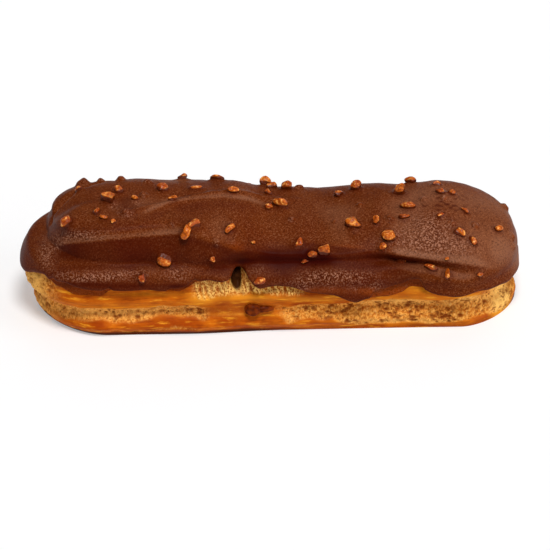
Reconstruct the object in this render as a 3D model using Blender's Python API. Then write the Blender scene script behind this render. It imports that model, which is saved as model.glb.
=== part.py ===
"""A chocolate eclair with chopped nuts: a baked choux log, its chocolate glaze and a dab of filling.

The log lies along X with its front towards -Y and rests on its flat foot at Z = 0. Every shape is a
grid of points: columns go round the log's outline in plan, rows climb its section from foot to crown.
"""

import math
import random

import bmesh
import bpy
import numpy as np
from mathutils import Matrix, Vector

MM = 0.001

# The plain log, before its piped rolls
CHOUX_LENGTH = 136.8 * MM
CHOUX_WIDTH = 39.0 * MM
CHOUX_HEIGHT = 32.2 * MM
FOOT_WIDTH = 37.0 * MM
WIDEST_HEIGHT = 13.0 * MM
SECTION_POWER = 2.7
FOOT_FLARE = 2.4
END_LEFT = 20.0 * MM
END_RIGHT = 16.0 * MM
END_POWER = 2.2
# The ends are more pointed near the foot: how much their power falls, and between which heights
POINTED = (0.5, 4 * MM, 13 * MM)
BEND = 1.3 * MM
# Below this height the left end is drawn in, most at the foot, and above another it leans in
LEFT_TUCK = (12 * MM, 3.6 * MM)
LEFT_LEAN = (14 * MM, 20 * MM, 1.4 * MM)
# Below this height the right end is drawn out, most at the foot
RIGHT_OUT = (12 * MM, 1.7 * MM)

# The upper lobe stands back from the left end, less at its back, and sinks towards the right
LOBE_INSET = 5.0 * MM
LOBE_BACK = 0.6
# The lobe's front corner is squarer on the left: its section power there, fading out between two places
CORNER_POWER = 6.0
CORNER_FADE = (-26 * MM, -6 * MM)
# The lobe's front stands back from the roll under it, on the left and on the right
LOBE_STEP = (2.3 * MM, 0.6 * MM)
LEDGE = (19.0 * MM, 22.8 * MM)
LOBE_FOOT = (19.5 * MM, 22.5 * MM)
CROWN_PIVOT = 21.0 * MM
CROWN_DROP = 0.34
CROWN_DROP_SPAN = (-10.5 * MM, 2.5 * MM)
# Swells and notches of the crown: place along the log, reach, share of the lobe's height
CROWN_WAVES = (
    (64 * MM, 9 * MM, -0.22),
    (47 * MM, 7 * MM, 0.13),
    (32 * MM, 6 * MM, 0.09),
    (16 * MM, 7 * MM, -0.12),
    (-36 * MM, 8 * MM, 0.05),
)

# Piped rolls and the split between them: height, reach, how far they stand proud
ROLLS = (
    (3.0 * MM, 1.5 * MM, 0.9 * MM),
    (11.8 * MM, 2.1 * MM, 0.9 * MM),
    (17.2 * MM, 2.1 * MM, 0.5 * MM),
)
# The valley over the glazed roll: its height, its reach and its depth at places along the log
VALLEY_LINE = (
    (-60 * MM, 21.2 * MM),
    (20 * MM, 21.2 * MM),
    (33 * MM, 22.2 * MM),
    (43 * MM, 20.6 * MM),
    (52 * MM, 19.2 * MM),
    (60 * MM, 18.4 * MM),
)
VALLEY_REACH = ((-24 * MM, 1.3 * MM), (-12 * MM, 2.2 * MM), (28 * MM, 2.2 * MM), (36 * MM, 1.3 * MM))
VALLEY_DEPTH = ((-24 * MM, -0.2 * MM), (-12 * MM, -1.2 * MM), (28 * MM, -1.4 * MM), (36 * MM, -1.8 * MM))
SPLIT = (7.0 * MM, 1.8 * MM, -1.5 * MM)
# The split closes in the middle: place, reach and the share that closes
SPLIT_CLOSED = (1 * MM, 17 * MM, 0.7)
# The shoulder of the upper lobe: its height at places along the log and its reach, how far it stands
# proud on the left and on the right, and the hollow face under it
SHOULDER_LINE = (
    (-60 * MM, 27 * MM),
    (-50 * MM, 28 * MM),
    (-32 * MM, 29 * MM),
    (-26 * MM, 29.2 * MM),
    (-19 * MM, 28.1 * MM),
    (-8 * MM, 25.6 * MM),
    (3 * MM, 24.4 * MM),
    (17 * MM, 23.7 * MM),
    (33 * MM, 24.4 * MM),
    (43 * MM, 22.4 * MM),
    (50 * MM, 21.2 * MM),
    (60 * MM, 20.2 * MM),
)
SHOULDER_REACH = 1.8 * MM
SHOULDER_RISE = (0.5 * MM, 0.5 * MM)
FACE_HOLLOW = -0.4 * MM
# The ridge along the top of the left half: its place across at places along, reach and height
RIDGE_LINE = ((-38 * MM, -9.5 * MM), (-19 * MM, -1.5 * MM), (-5 * MM, 2.5 * MM), (20 * MM, 5 * MM))
RIDGE = (3.0 * MM, 0.8 * MM)
RIDGE_SPAN = (-44 * MM, -34 * MM, 0 * MM, 14 * MM)
DENT = (-39 * MM, 1 * MM, 5.5 * MM, -1.0 * MM)
UNEVEN = 0.4 * MM
UNEVEN_SIZE = 14 * MM
CRUMB_ROUGH = 0.35 * MM
CRUMB_SIZE = 3.2 * MM
# The torn crumb under the glaze's high bay: place and reach along the log, and in height
TORN = (-10 * MM, 8 * MM, 15.5 * MM, 2.5 * MM)
TORN_ROUGH = 0.7 * MM

# The glaze's lower edge on the front, from left to right: place along the log, height
GLAZE_EDGE = 15.2 * MM
FRONT_EDGE = (
    (-68 * MM, 13.8 * MM),
    (-64.7 * MM, 16.2 * MM),
    (-61.3 * MM, 17.3 * MM),
    (-60.2 * MM, 15.6 * MM),
    (-55.7 * MM, 14.4 * MM),
    (-51.4 * MM, 13.5 * MM),
    (-46.5 * MM, 13.3 * MM),
    (-43.6 * MM, 15.5 * MM),
    (-32 * MM, 15.3 * MM),
    (-25 * MM, 14.2 * MM),
    (-21.4 * MM, 16.1 * MM),
    (-19.7 * MM, 17.7 * MM),
    (-16.6 * MM, 18.6 * MM),
    (-13.5 * MM, 17.4 * MM),
    (-11.2 * MM, 17.7 * MM),
    (-10 * MM, 18.7 * MM),
    (-9.3 * MM, 19.2 * MM),
    (-7 * MM, 19.2 * MM),
    (-5.9 * MM, 17.9 * MM),
    (-2.8 * MM, 15 * MM),
    (2 * MM, 15.2 * MM),
    (5.9 * MM, 14.6 * MM),
    (12 * MM, 12.8 * MM),
    (17.4 * MM, 12.6 * MM),
    (21.9 * MM, 10.8 * MM),
    (25 * MM, 9.5 * MM),
    (26.9 * MM, 11 * MM),
    (33 * MM, 11 * MM),
    (38.2 * MM, 12.6 * MM),
    (39.3 * MM, 14 * MM),
    (43 * MM, 13.6 * MM),
    (45.3 * MM, 12.6 * MM),
    (51.4 * MM, 11.4 * MM),
    (59 * MM, 12 * MM),
    (63.8 * MM, 11.4 * MM),
    (67.5 * MM, 10.4 * MM),
)
EDGE_SOFTNESS = 1.6 * MM
EDGE_LIMITS = (10.7 * MM, 19.0 * MM)
BACK_DRIPS = ((-44 * MM, 7 * MM, 2.2 * MM), (-12 * MM, 9 * MM, -1.8 * MM), (30 * MM, 8 * MM, 2.4 * MM))
GLAZE_THICKNESS = 1.25 * MM
GLAZE_ROLL_THICKER = 0.6 * MM
GLAZE_GAP = 0.35 * MM
EDGE_BEAD = (0.45, 0.85, 1.0)
EDGE_BEAD_STEP = 0.6 * MM
# Lumps in the glaze's front: place, height, reach, how far they stand proud
GLAZE_LUMPS = (
    (-9 * MM, 26 * MM, 3.2 * MM, 1.0 * MM),
    (-8 * MM, 22 * MM, 2.0 * MM, -0.9 * MM),
    (-2.8 * MM, 18 * MM, 2.8 * MM, 1.1 * MM),
    (18 * MM, 18.5 * MM, 7.5 * MM, 1.1 * MM),
    (53 * MM, 16 * MM, 8.0 * MM, 1.1 * MM),
    (38 * MM, 17 * MM, 4.0 * MM, -0.7 * MM),
)

# Chopped nuts that stand out at the front, as seen from above the front edge at VIEW_RISE:
# place along the log, height in that view above the foot's front edge, size
VIEW_RISE = math.radians(30)
NUTS_SEEN = (
    (-57, 33, 2.6), (-48, 35, 1.7), (-45, 40, 3.4), (-43, 42, 2.2), (-38, 39, 1.6), (-35, 17, 2.0),
    (-30, 21, 3.4), (-30, 41.5, 2.0), (-26.5, 38.5, 1.7), (-21.5, 30, 3.6), (-20, 41, 3.2),
    (-15, 21.5, 2.0), (-14, 44, 3.0), (-10, 29, 2.6), (-10, 40.5, 2.2), (-2.5, 15, 2.4), (0, 34.5, 2.0),
    (0.5, 39.5, 1.8), (3.5, 35.5, 4.0), (6, 40.5, 3.2), (9, 24.5, 3.0), (12.5, 21, 2.0),
    (16, 22, 2.9), (20, 38, 2.0), (24, 29, 3.2), (25, 40, 2.4), (30.5, 30, 2.0), (32.5, 22, 2.0),
    (34, 26, 2.9), (37.5, 38.5, 2.8), (38.5, 31, 2.0), (39.5, 34, 3.6), (40.5, 41.5, 2.5),
    (45.5, 16, 2.4), (50, 14.5, 2.5), (50, 18.5, 1.6), (49, 38, 2.4), (52, 37, 2.2), (54, 26.5, 2.6),
    (55.5, 32, 2.0), (57.5, 24, 2.3), (59, 14.5, 1.8), (64.5, 27, 2.1), (67, 33, 2.0),
)
BACK_NUTS = 20
NUT_SIZES = (1.7 * MM, 3.2 * MM)
NUT_SINK = 0.16
NUT_DEPTH = 0.7 * MM
NUT_SPACING = 5 * MM
# Hidden nuts stay this far below the skyline of the glaze, taken this far either side of each
SKYLINE_MARGIN = 2.5 * MM
SKYLINE_REACH = 3.0 * MM
SEED = 7

# The dab of filling that has come out between two rolls
DAB_PLACE = (-3.9 * MM, 7.5 * MM)
DAB_SIZE = (5.0 * MM, 4.0 * MM, 4.0 * MM)
DAB_TAIL = (5.4 * MM, 2.8 * MM, 2.0 * MM)
DAB_TAIL_OFFSET = (3.4 * MM, 0.3 * MM, -0.4 * MM)
DAB_GAP = 0.3 * MM

# Grid sizes
SIDE_COLUMNS = 31
END_COLUMNS = 18
BARE_HEIGHTS = (0, 0.6 * MM, 1.7 * MM, 3.0 * MM, 4.4 * MM, 5.7 * MM, 7.0 * MM, 8.3 * MM, 9.6 * MM)
BARE_ROWS = 4
LEVEL = 19.9 * MM
# Rows between the glaze's edge and the level, and shares of the way from there up to the crown
COATED_ROWS = (4, (0, 0.08, 0.17, 0.27, 0.35, 0.42, 0.55, 0.76, 1))
GLAZE_ROWS = (3, (0, 0.07, 0.15, 0.24, 0.31, 0.38, 0.46, 0.6, 0.79, 1))
WAVES = 14


def fade(value, start, end):
    """0 before start, 1 after end, and an even S between them."""
    share = np.clip((value - start) / (end - start), 0, 1)
    return share * share * (3 - 2 * share)


def bump(value, centre, reach):
    """A smooth hill, 1 high at its centre, that has died away at about twice its reach."""
    return np.exp(-(((value - centre) / reach) ** 2))


def section(share):
    """Half-width and height of the plain log, at a share of the way from the foot's edge to the crown."""
    low = np.linspace(0, 1, 80)
    turn = np.linspace(0, math.pi / 2, 400)[1:]
    half, foot = CHOUX_WIDTH / 2, FOOT_WIDTH / 2
    width = np.concatenate([half - (half - foot) * (1 - low) ** FOOT_FLARE,
                            half * np.cos(turn).clip(0) ** (2 / SECTION_POWER)])
    height = np.concatenate([WIDEST_HEIGHT * low,
                             WIDEST_HEIGHT + (CHOUX_HEIGHT - WIDEST_HEIGHT)
                             * np.sin(turn) ** (2 / SECTION_POWER)])
    run = np.concatenate([[0], np.cumsum(np.hypot(np.diff(width), np.diff(height)))])
    width[-1] = 0
    return np.interp(share * run[-1], run, width), np.interp(share * run[-1], run, height)


def share_at_height(height):
    """The share of the section at which the plain log reaches a height."""
    shares = np.linspace(0, 0.9, 300)
    return np.interp(height, section(shares)[1], shares)


def columns():
    """Place along the straight, -1 to 1, and outward direction of each column round the outline."""
    side = (np.arange(SIDE_COLUMNS) + 0.5) / SIDE_COLUMNS * 2 - 1
    end = (np.arange(END_COLUMNS) + 0.5) / END_COLUMNS * math.pi - math.pi / 2
    ones = np.ones(END_COLUMNS)
    along = np.concatenate([side, ones, -side, -ones])
    turn = np.concatenate([np.full(SIDE_COLUMNS, -math.pi / 2), end,
                           np.full(SIDE_COLUMNS, math.pi / 2), end + math.pi])
    return along, turn


def plain_log(share):
    """Points of the log without its rolls; share has one value for each column and row."""
    along, turn = (a[:, None] for a in columns())
    width, height = section(share)
    wide = width / (CHOUX_WIDTH / 2)
    high = np.clip((height - WIDEST_HEIGHT) / (CHOUX_HEIGHT - WIDEST_HEIGHT), 0, 1)
    square = (np.clip(wide, 1e-6, 1) ** CORNER_POWER + high ** CORNER_POWER) ** (-1 / CORNER_POWER)
    straight = along * (CHOUX_LENGTH / 2 - END_LEFT)
    push = (square - 1) * fade(-np.sin(turn), 0, 0.6) * (1 - fade(straight, *CORNER_FADE)) * (high > 0)
    width = width * (1 + push)
    lobe = fade(height, *LOBE_FOOT)
    top, tuck = LEFT_TUCK
    low, high, lean = LEFT_LEAN
    inset = tuck * np.clip(1 - height / top, 0, 1) ** 1.4 + lean * fade(height, low, high)
    back = fade(np.sin(turn), -0.1, 0.8) * fade(wide, 0, 0.5)
    inset = inset + LOBE_INSET * lobe * (1 - LOBE_BACK * back)
    top, out = RIGHT_OUT
    outset = out * np.clip(1 - height / top, 0, 1)
    left, right = -CHOUX_LENGTH / 2 + END_LEFT, CHOUX_LENGTH / 2 - END_RIGHT
    across, out = np.sin(turn), np.cos(turn)
    pointed, low, high = POINTED
    power = 2 / (END_POWER - pointed * (1 - fade(height, low, high)))
    out = np.sign(out) * np.abs(out) ** power
    across = np.sign(across) * np.abs(across) ** power
    reach = np.where(out < 0, END_LEFT, END_RIGHT) * wide
    share = (along + 1) / 2
    x = left + (right - left) * share + inset * (1 - share) ** 4 + outset * share ** 4 + reach * out
    y = width * across + BEND * fade(x, -22 * MM, 6 * MM) - BEND / 2
    step = LOBE_STEP[0] + (LOBE_STEP[1] - LOBE_STEP[0]) * fade(x, -30 * MM, -14 * MM)
    y = y + step * fade(height, *LEDGE) * fade(-np.sin(turn), 0, 0.6) * fade(wide, 0, 0.6)
    crown = 1 - CROWN_DROP * fade(x, *CROWN_DROP_SPAN)
    for place, reach_x, rise in CROWN_WAVES:
        crown = crown + rise * bump(x, place, reach_x)
    z = np.minimum(height, CROWN_PIVOT) + np.maximum(height - CROWN_PIVOT, 0) * crown
    z = z + (height - WIDEST_HEIGHT) * push * crown
    return np.stack([x, y, z], axis=-1), height


def normals(points):
    """Outward directions of a grid of points, straight up at the crown."""
    round_log = np.roll(points, -1, axis=0) - np.roll(points, 1, axis=0)
    upward = np.gradient(points, axis=1)
    normal = np.cross(round_log, upward)
    length = np.linalg.norm(normal, axis=-1, keepdims=True)
    normal = np.where(length > 1e-12, normal / np.maximum(length, 1e-12), [0, 0, 1])
    normal[:, -1] = [0, 0, 1]
    return normal


def field(points, size, seed):
    """Smooth noise of about -1 to 1 at each point: a sum of waves with lumps of about the given size."""
    rng = np.random.default_rng(seed)
    directions = rng.normal(size=(WAVES, 3))
    directions /= np.linalg.norm(directions, axis=1, keepdims=True)
    turns = math.pi / size * rng.uniform(0.5, 1.3, (WAVES, 1)) * directions
    phases = rng.uniform(0, 2 * math.pi, WAVES)
    return np.sin(points @ turns.T + phases).sum(axis=-1) * 1.5 / WAVES ** 0.5 / 2


def height_along(line, x):
    """Height of a line that runs along the log, from its heights at a few places."""
    line = np.array(line)
    return np.interp(x, line[:, 0], line[:, 1])


def lobe_relief(points, height):
    """The valley over the glazed roll, the lobe's shoulder and hollow face, its top ridge and its dent."""
    x, y = points[..., 0], points[..., 1]
    low, line = height_along(VALLEY_LINE, x), height_along(SHOULDER_LINE, x)
    right = fade(x, -22 * MM, -12 * MM)
    before_end = 1 - fade(x, 50 * MM, 60 * MM)
    deep = height_along(VALLEY_DEPTH, x) * (1 + 0.35 * field(points, 10 * MM, 5))
    proud = deep * bump(height, low, height_along(VALLEY_REACH, x)) * before_end
    rise = SHOULDER_RISE[0] + (SHOULDER_RISE[1] - SHOULDER_RISE[0]) * right
    proud = proud + rise * bump(height, line, SHOULDER_REACH) * before_end
    face = fade(height, low - 0.7 * MM, low + 0.8 * MM) * (1 - fade(height, line - 1.6 * MM, line - 0.2 * MM))
    proud = proud + FACE_HOLLOW * face * (1 - right)
    reach, rise = RIDGE
    start, full, still, end = RIDGE_SPAN
    top = fade(height, 27 * MM, 30 * MM)
    span = fade(x, start, full) * (1 - fade(x, still, end)) * top
    proud = proud + rise * bump(y, height_along(RIDGE_LINE, x), reach) * span
    place, across, reach, depth = DENT
    return proud + depth * bump(x, place, reach) * bump(y, across, reach) * top


def log_surface(share, cover):
    """The baked log with piped rolls, splits and an uneven skin, covered to a given thickness."""
    points, height = plain_log(share)
    normal = normals(points)
    x, y = points[..., 0], points[..., 1]
    proud = sum(rise * bump(height, level, reach) for level, reach, rise in ROLLS)
    proud = proud * (1 - 0.7 * fade(-x, 54 * MM, 64 * MM))
    level, reach, rise = ROLLS[0]
    proud = proud - 0.7 * rise * bump(height, level, reach) * fade(x, 20 * MM, 36 * MM)
    level, reach, depth = SPLIT
    place, closed_reach, closed = SPLIT_CLOSED
    proud = proud + depth * bump(height, level, reach) * (1 - closed * bump(x, place, closed_reach))
    proud = proud + lobe_relief(points, height)
    proud = proud + UNEVEN * field(points, UNEVEN_SIZE, 3)
    place, reach, level, reach_up = TORN
    torn = bump(x, place, reach) * bump(height, level, reach_up) * fade(-y, 0, 8 * MM)
    crumb = CRUMB_ROUGH * bump(height, 8 * MM, 4 * MM) + TORN_ROUGH * torn
    proud = proud + crumb * field(points, CRUMB_SIZE, 11)
    proud = proud * fade(height, -0.2 * MM, 1.2 * MM)
    moved = points + normal * (proud + cover)[..., None]
    return np.where(share[..., None] > 0, moved, moved * [1, 1, 0])


def edge_height():
    """Height of the glaze's lower edge at each column, worked out again at the place where it lies."""
    along, turn = columns()
    front = fade(-np.sin(turn), -0.4, 0.4)
    spread = EDGE_SOFTNESS * np.linspace(-1, 1, 5)
    edge = np.full(len(along), GLAZE_EDGE)
    for _ in range(4):
        x = plain_log(share_at_height(edge)[:, None])[0][:, 0, 0]
        near = height_along(FRONT_EDGE, x[:, None] + spread).mean(axis=1)
        ends = height_along((FRONT_EDGE[0], FRONT_EDGE[-1]), x)
        far = GLAZE_EDGE + (ends - GLAZE_EDGE) * np.cos(turn) ** 2
        far = far - sum(drop * bump(x, place, reach) for place, reach, drop in BACK_DRIPS)
        edge = np.clip(near * front + far * (1 - front), *EDGE_LIMITS)
    return edge


def edge_share():
    """Share of the section at the glaze's lower edge at each column, as one column of values."""
    return share_at_height(edge_height())[:, None]


def steps(start, end, count):
    """Even steps from start to end, without the end itself, for each column."""
    return start + (end - start) * np.arange(count)[None, :] / count


def share_above_level(rows):
    """Shares of the section at rows from the level above every edge to the crown."""
    level = share_at_height(LEVEL)
    shares = level + (1 - level) * np.array(rows)
    return np.broadcast_to(shares, (len(columns()[0]), len(shares)))


def bare_share():
    """Shares of the section from the foot's edge up to the glaze's edge."""
    edge = edge_share()
    fixed = share_at_height(np.array(BARE_HEIGHTS))
    fixed = np.broadcast_to(fixed[:-1], (len(edge), len(fixed) - 1))
    return np.concatenate([fixed, steps(share_at_height(BARE_HEIGHTS[-1]), edge, BARE_ROWS)], axis=1)


def coated_share():
    """Shares of the section from the glaze's edge to the crown."""
    below, above = COATED_ROWS
    return np.concatenate([steps(edge_share(), share_at_height(LEVEL), below), share_above_level(above)],
                          axis=1)


def glaze_share():
    """Shares of the glaze's outer skin, with close rows in its rounded edge."""
    below, above = GLAZE_ROWS
    start = edge_share()
    bead = EDGE_BEAD_STEP * np.arange(len(EDGE_BEAD)) / (CHOUX_HEIGHT + CHOUX_WIDTH / 2)
    ready = start + bead[None, :]
    rest = steps(ready[:, -1:], share_at_height(LEVEL), below)[:, 1:]
    return np.concatenate([ready, rest, share_above_level(above)], axis=1)


def glaze_surfaces():
    """Outer and inner grids of the glaze."""
    share = glaze_share()
    points, height = plain_log(share)
    x, y = points[..., 0], points[..., 1]
    thick = GLAZE_THICKNESS + GLAZE_ROLL_THICKER * bump(height, 17 * MM, 3.5 * MM)
    front = fade(-y, 0, 8 * MM)
    for place, level, reach, rise in GLAZE_LUMPS:
        thick = thick + rise * bump(x, place, reach) * bump(height, level, reach) * front
    thick[:, : len(EDGE_BEAD)] *= EDGE_BEAD
    inner_share = coated_share()
    return log_surface(share, GLAZE_GAP + thick), log_surface(inner_share, np.full_like(inner_share, GLAZE_GAP))


def grid_faces(count, rows, first=0, inward=False):
    """Triangles of a grid that closes round the log; its points are numbered column by column."""
    faces = []
    for column in range(count):
        beside = (column + 1) % count
        for row in range(rows - 1):
            a, b = first + column * rows + row, first + beside * rows + row
            faces += [(a, b, b + 1), (a, b + 1, a + 1)]
    return [face[::-1] for face in faces] if inward else faces


def make_object(name, vertices, faces, colour, roughness):
    """A closed mesh object with merged points, smooth shading and its own material."""
    mesh = bpy.data.meshes.new(name)
    mesh.from_pydata([tuple(v) for v in vertices], [], faces)
    work = bmesh.new()
    work.from_mesh(mesh)
    bmesh.ops.remove_doubles(work, verts=work.verts, dist=1e-6)
    bmesh.ops.dissolve_degenerate(work, edges=work.edges, dist=1e-6)
    bmesh.ops.recalc_face_normals(work, faces=work.faces)
    work.to_mesh(mesh)
    work.free()
    mesh.shade_smooth()
    thing = bpy.data.objects.new(name, mesh)
    bpy.context.scene.collection.objects.link(thing)
    paint(thing, colour, roughness)
    return thing


def paint(thing, colour, roughness):
    """Gives an object its own Principled material."""
    material = bpy.data.materials.new(thing.name)
    material.use_nodes = True
    shader = material.node_tree.nodes["Principled BSDF"]
    shader.inputs["Base Color"].default_value = (*colour, 1)
    shader.inputs["Roughness"].default_value = roughness
    thing.data.materials.clear()
    thing.data.materials.append(material)


def make_choux():
    """The baked log with its flat foot."""
    share = np.concatenate([bare_share(), coated_share()], axis=1)
    count, rows = share.shape
    points = log_surface(share, np.zeros_like(share))
    faces = grid_faces(count, rows)
    faces.append([column * rows for column in range(count)][::-1])
    return make_object("choux", points.reshape(-1, 3), faces, (0.42, 0.15, 0.03), 0.7)


def make_coat(outer, inner):
    """The glaze without nuts: outer skin, inner skin and the strip that joins them at the edge."""
    count, outer_rows, inner_rows = len(outer), outer.shape[1], inner.shape[1]
    first = count * outer_rows
    faces = grid_faces(count, outer_rows) + grid_faces(count, inner_rows, first, inward=True)
    for column in range(count):
        beside = (column + 1) % count
        faces.append((first + column * inner_rows, first + beside * inner_rows,
                      beside * outer_rows, column * outer_rows))
    vertices = np.concatenate([outer.reshape(-1, 3), inner.reshape(-1, 3)])
    return make_object("glaze", vertices, faces, (0.09, 0.025, 0.01), 0.4)


def nut_places(outer):
    """Place, outward direction and size of every nut."""
    skin = outer.reshape(-1, 3)
    outward = normals(outer).reshape(-1, 3)
    look = np.array([0, -math.cos(VIEW_RISE), math.sin(VIEW_RISE)])
    up = np.array([0, math.sin(VIEW_RISE), math.cos(VIEW_RISE)])
    seen = outward @ look > 0.1
    view_height = skin @ up
    skyline = np.array([view_height[np.abs(skin[:, 0] - x) < SKYLINE_REACH].max() for x in skin[:, 0]])
    foot_front = -FOOT_WIDTH / 2 * math.sin(VIEW_RISE)
    places = []
    for along, high, size in NUTS_SEEN:
        off = np.hypot(skin[:, 0] - along * MM, skin @ up - foot_front - high * MM)
        nearest = int(np.argmin(np.where(seen, off, 1)))
        places.append((skin[nearest], outward[nearest], size * MM))
    rng = random.Random(SEED)
    below_skyline = view_height < skyline - SKYLINE_MARGIN
    hidden = [i for i in range(len(skin)) if not seen[i] and below_skyline[i] and outward[i][2] > 0.1]
    while len(places) < len(NUTS_SEEN) + BACK_NUTS:
        pick = rng.choice(hidden)
        if min(np.linalg.norm(skin[pick] - p[0]) for p in places) > NUT_SPACING:
            places.append((skin[pick], outward[pick], rng.uniform(*NUT_SIZES)))
    return places


def make_nut(number, place, outward, size):
    """One chopped piece: a rough chunk, longer than it is wide, sunk a little into the glaze."""
    rng = random.Random(SEED + number)
    work = bmesh.new()
    bmesh.ops.create_icosphere(work, subdivisions=1, radius=size / 2)
    for vertex in work.verts:
        vertex.co *= rng.uniform(0.85, 1.15)
    stretch = Matrix.Diagonal((rng.uniform(1.0, 1.25), rng.uniform(0.8, 1.0), rng.uniform(0.75, 0.95), 1))
    spin = Matrix.Rotation(rng.uniform(0, 2 * math.pi), 4, "Z")
    stand = Vector(outward).to_track_quat("Z", "Y").to_matrix().to_4x4()
    lift = max(size * NUT_SINK, size * 0.45 - NUT_DEPTH)
    centre = Matrix.Translation(Vector(place + outward * lift))
    bmesh.ops.transform(work, matrix=centre @ stand @ spin @ stretch, verts=work.verts)
    mesh = bpy.data.meshes.new(f"nut_{number}")
    work.to_mesh(mesh)
    work.free()
    return bpy.data.objects.new(mesh.name, mesh)


def fuse(body, extras):
    """Joins extra solids to a body with one applied Boolean union, then removes them."""
    group = bpy.data.collections.new("extras")
    bpy.context.scene.collection.children.link(group)
    for thing in extras:
        group.objects.link(thing)
    union = body.modifiers.new("union", "BOOLEAN")
    union.operation = "UNION"
    union.solver = "MANIFOLD"
    union.operand_type = "COLLECTION"
    union.collection = group
    apply_modifier(body, union)
    for thing in extras:
        bpy.data.objects.remove(thing)
    bpy.data.collections.remove(group)


def apply_modifier(thing, modifier):
    """Applies one modifier and keeps the object."""
    bpy.context.view_layer.objects.active = thing
    bpy.context.view_layer.update()
    bpy.ops.object.modifier_apply(modifier=modifier.name)


def front_of_choux(along, height):
    """The point of the choux's front face at a place along the log and a height."""
    count = len(columns()[0])
    share = np.full((count, 3), share_at_height(height)) + np.arange(3) * 1e-4
    front = log_surface(share, np.zeros_like(share))[:SIDE_COLUMNS, 0]
    return Vector([along, *(np.interp(along, front[:, 0], front[:, axis]) for axis in (1, 2))])


def ellipsoid(name, centre, half_sizes):
    """A closed ellipsoid with its place in its mesh."""
    work = bmesh.new()
    bmesh.ops.create_icosphere(work, subdivisions=2, radius=1)
    scale = Matrix.Diagonal((*half_sizes, 1))
    bmesh.ops.transform(work, matrix=Matrix.Translation(centre) @ scale, verts=work.verts)
    mesh = bpy.data.meshes.new(name)
    work.to_mesh(mesh)
    work.free()
    thing = bpy.data.objects.new(name, mesh)
    return thing


def make_dab(name, grow):
    """The dab: a rounded lump and its tail along the split; grow makes the room that it sits in."""
    front = front_of_choux(*DAB_PLACE)
    lump = ellipsoid(name, front, [size / 2 + grow for size in DAB_SIZE])
    tail = ellipsoid("tail", front + Vector(DAB_TAIL_OFFSET), [size / 2 + grow for size in DAB_TAIL])
    bpy.context.scene.collection.objects.link(lump)
    fuse(lump, [tail])
    lump.data.shade_smooth()
    paint(lump, (0.09, 0.03, 0.012), 0.3)
    return lump


def cut_room(body, cutter):
    """Cuts one solid out of another, then removes the cutter."""
    cut = body.modifiers.new("room", "BOOLEAN")
    cut.operation = "DIFFERENCE"
    cut.solver = "EXACT"
    cut.object = cutter
    apply_modifier(body, cut)
    bpy.data.objects.remove(cutter)


def centre_on_foot(things):
    """Moves the pieces together so that their common box is centred on the origin in plan."""
    points = np.array([v.co for thing in things for v in thing.data.vertices])
    middle = (points.min(axis=0) + points.max(axis=0)) / 2
    for thing in things:
        thing.data.transform(Matrix.Translation((-middle[0], -middle[1], 0)))


def build():
    """Makes the three pieces."""
    for thing in list(bpy.data.objects):
        bpy.data.objects.remove(thing)
    choux = make_choux()
    cut_room(choux, make_dab("dab_room", DAB_GAP))
    filling = make_dab("filling", 0)
    outer, inner = glaze_surfaces()
    glaze = make_coat(outer, inner)
    fuse(glaze, [make_nut(n, *place) for n, place in enumerate(nut_places(outer))])
    centre_on_foot([choux, glaze, filling])


build()
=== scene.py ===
"""The looks of a chocolate eclair: baked choux, chocolate glaze, chopped nuts and a dab of filling.

The log lies along X with its front towards -Y. Every surface is a grid: columns go round the log's
outline in plan and rows climb its section from the foot to the crown. Lengths are in metres.
"""

import math

import bmesh
import bpy
import numpy as np
from mathutils import Matrix, Vector


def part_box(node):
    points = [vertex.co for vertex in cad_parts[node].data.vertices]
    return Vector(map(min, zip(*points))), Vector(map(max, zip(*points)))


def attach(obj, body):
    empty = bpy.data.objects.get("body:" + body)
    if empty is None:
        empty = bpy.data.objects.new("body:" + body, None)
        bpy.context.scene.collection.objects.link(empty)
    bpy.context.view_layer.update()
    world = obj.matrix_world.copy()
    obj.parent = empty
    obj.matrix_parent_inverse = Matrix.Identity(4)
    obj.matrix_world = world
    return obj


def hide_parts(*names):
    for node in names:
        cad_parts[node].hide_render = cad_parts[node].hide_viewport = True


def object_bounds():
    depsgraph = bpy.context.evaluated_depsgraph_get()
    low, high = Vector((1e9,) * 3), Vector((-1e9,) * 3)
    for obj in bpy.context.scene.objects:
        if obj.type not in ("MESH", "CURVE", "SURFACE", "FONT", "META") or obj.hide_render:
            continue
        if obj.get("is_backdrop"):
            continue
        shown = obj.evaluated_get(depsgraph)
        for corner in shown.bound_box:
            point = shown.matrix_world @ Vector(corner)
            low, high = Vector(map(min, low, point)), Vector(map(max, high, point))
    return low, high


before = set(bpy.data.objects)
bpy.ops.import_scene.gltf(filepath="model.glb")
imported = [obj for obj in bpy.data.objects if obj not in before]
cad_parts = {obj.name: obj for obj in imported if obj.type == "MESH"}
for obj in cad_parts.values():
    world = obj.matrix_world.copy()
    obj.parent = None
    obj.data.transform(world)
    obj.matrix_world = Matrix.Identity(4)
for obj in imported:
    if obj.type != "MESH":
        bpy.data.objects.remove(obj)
CAD_LOW, CAD_HIGH = (np.array(corner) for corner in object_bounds())

MM = 0.001
PI = math.pi


def mm(*rows):
    """Numbers or rows of numbers in millimetres, as an array in metres."""
    return np.array(rows) * MM


# The photograph's frame: pixels to the millimetre, and where the part's origin falls in it
PHOTO_SIDE = 550
PIXELS_PER_MM = 3.557
ORIGIN_X = 268.0
ORIGIN_Y = 297.9
VIEW_RISE = math.radians(30)
VIEW_ROLL = math.radians(1.0)
FOCAL_PIXELS = 12000
# Directions towards the camera and up in its picture, before its roll
LOOK = np.array([0, -math.cos(VIEW_RISE), math.sin(VIEW_RISE)])
UP = np.array([0, math.sin(VIEW_RISE), math.cos(VIEW_RISE)])

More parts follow.
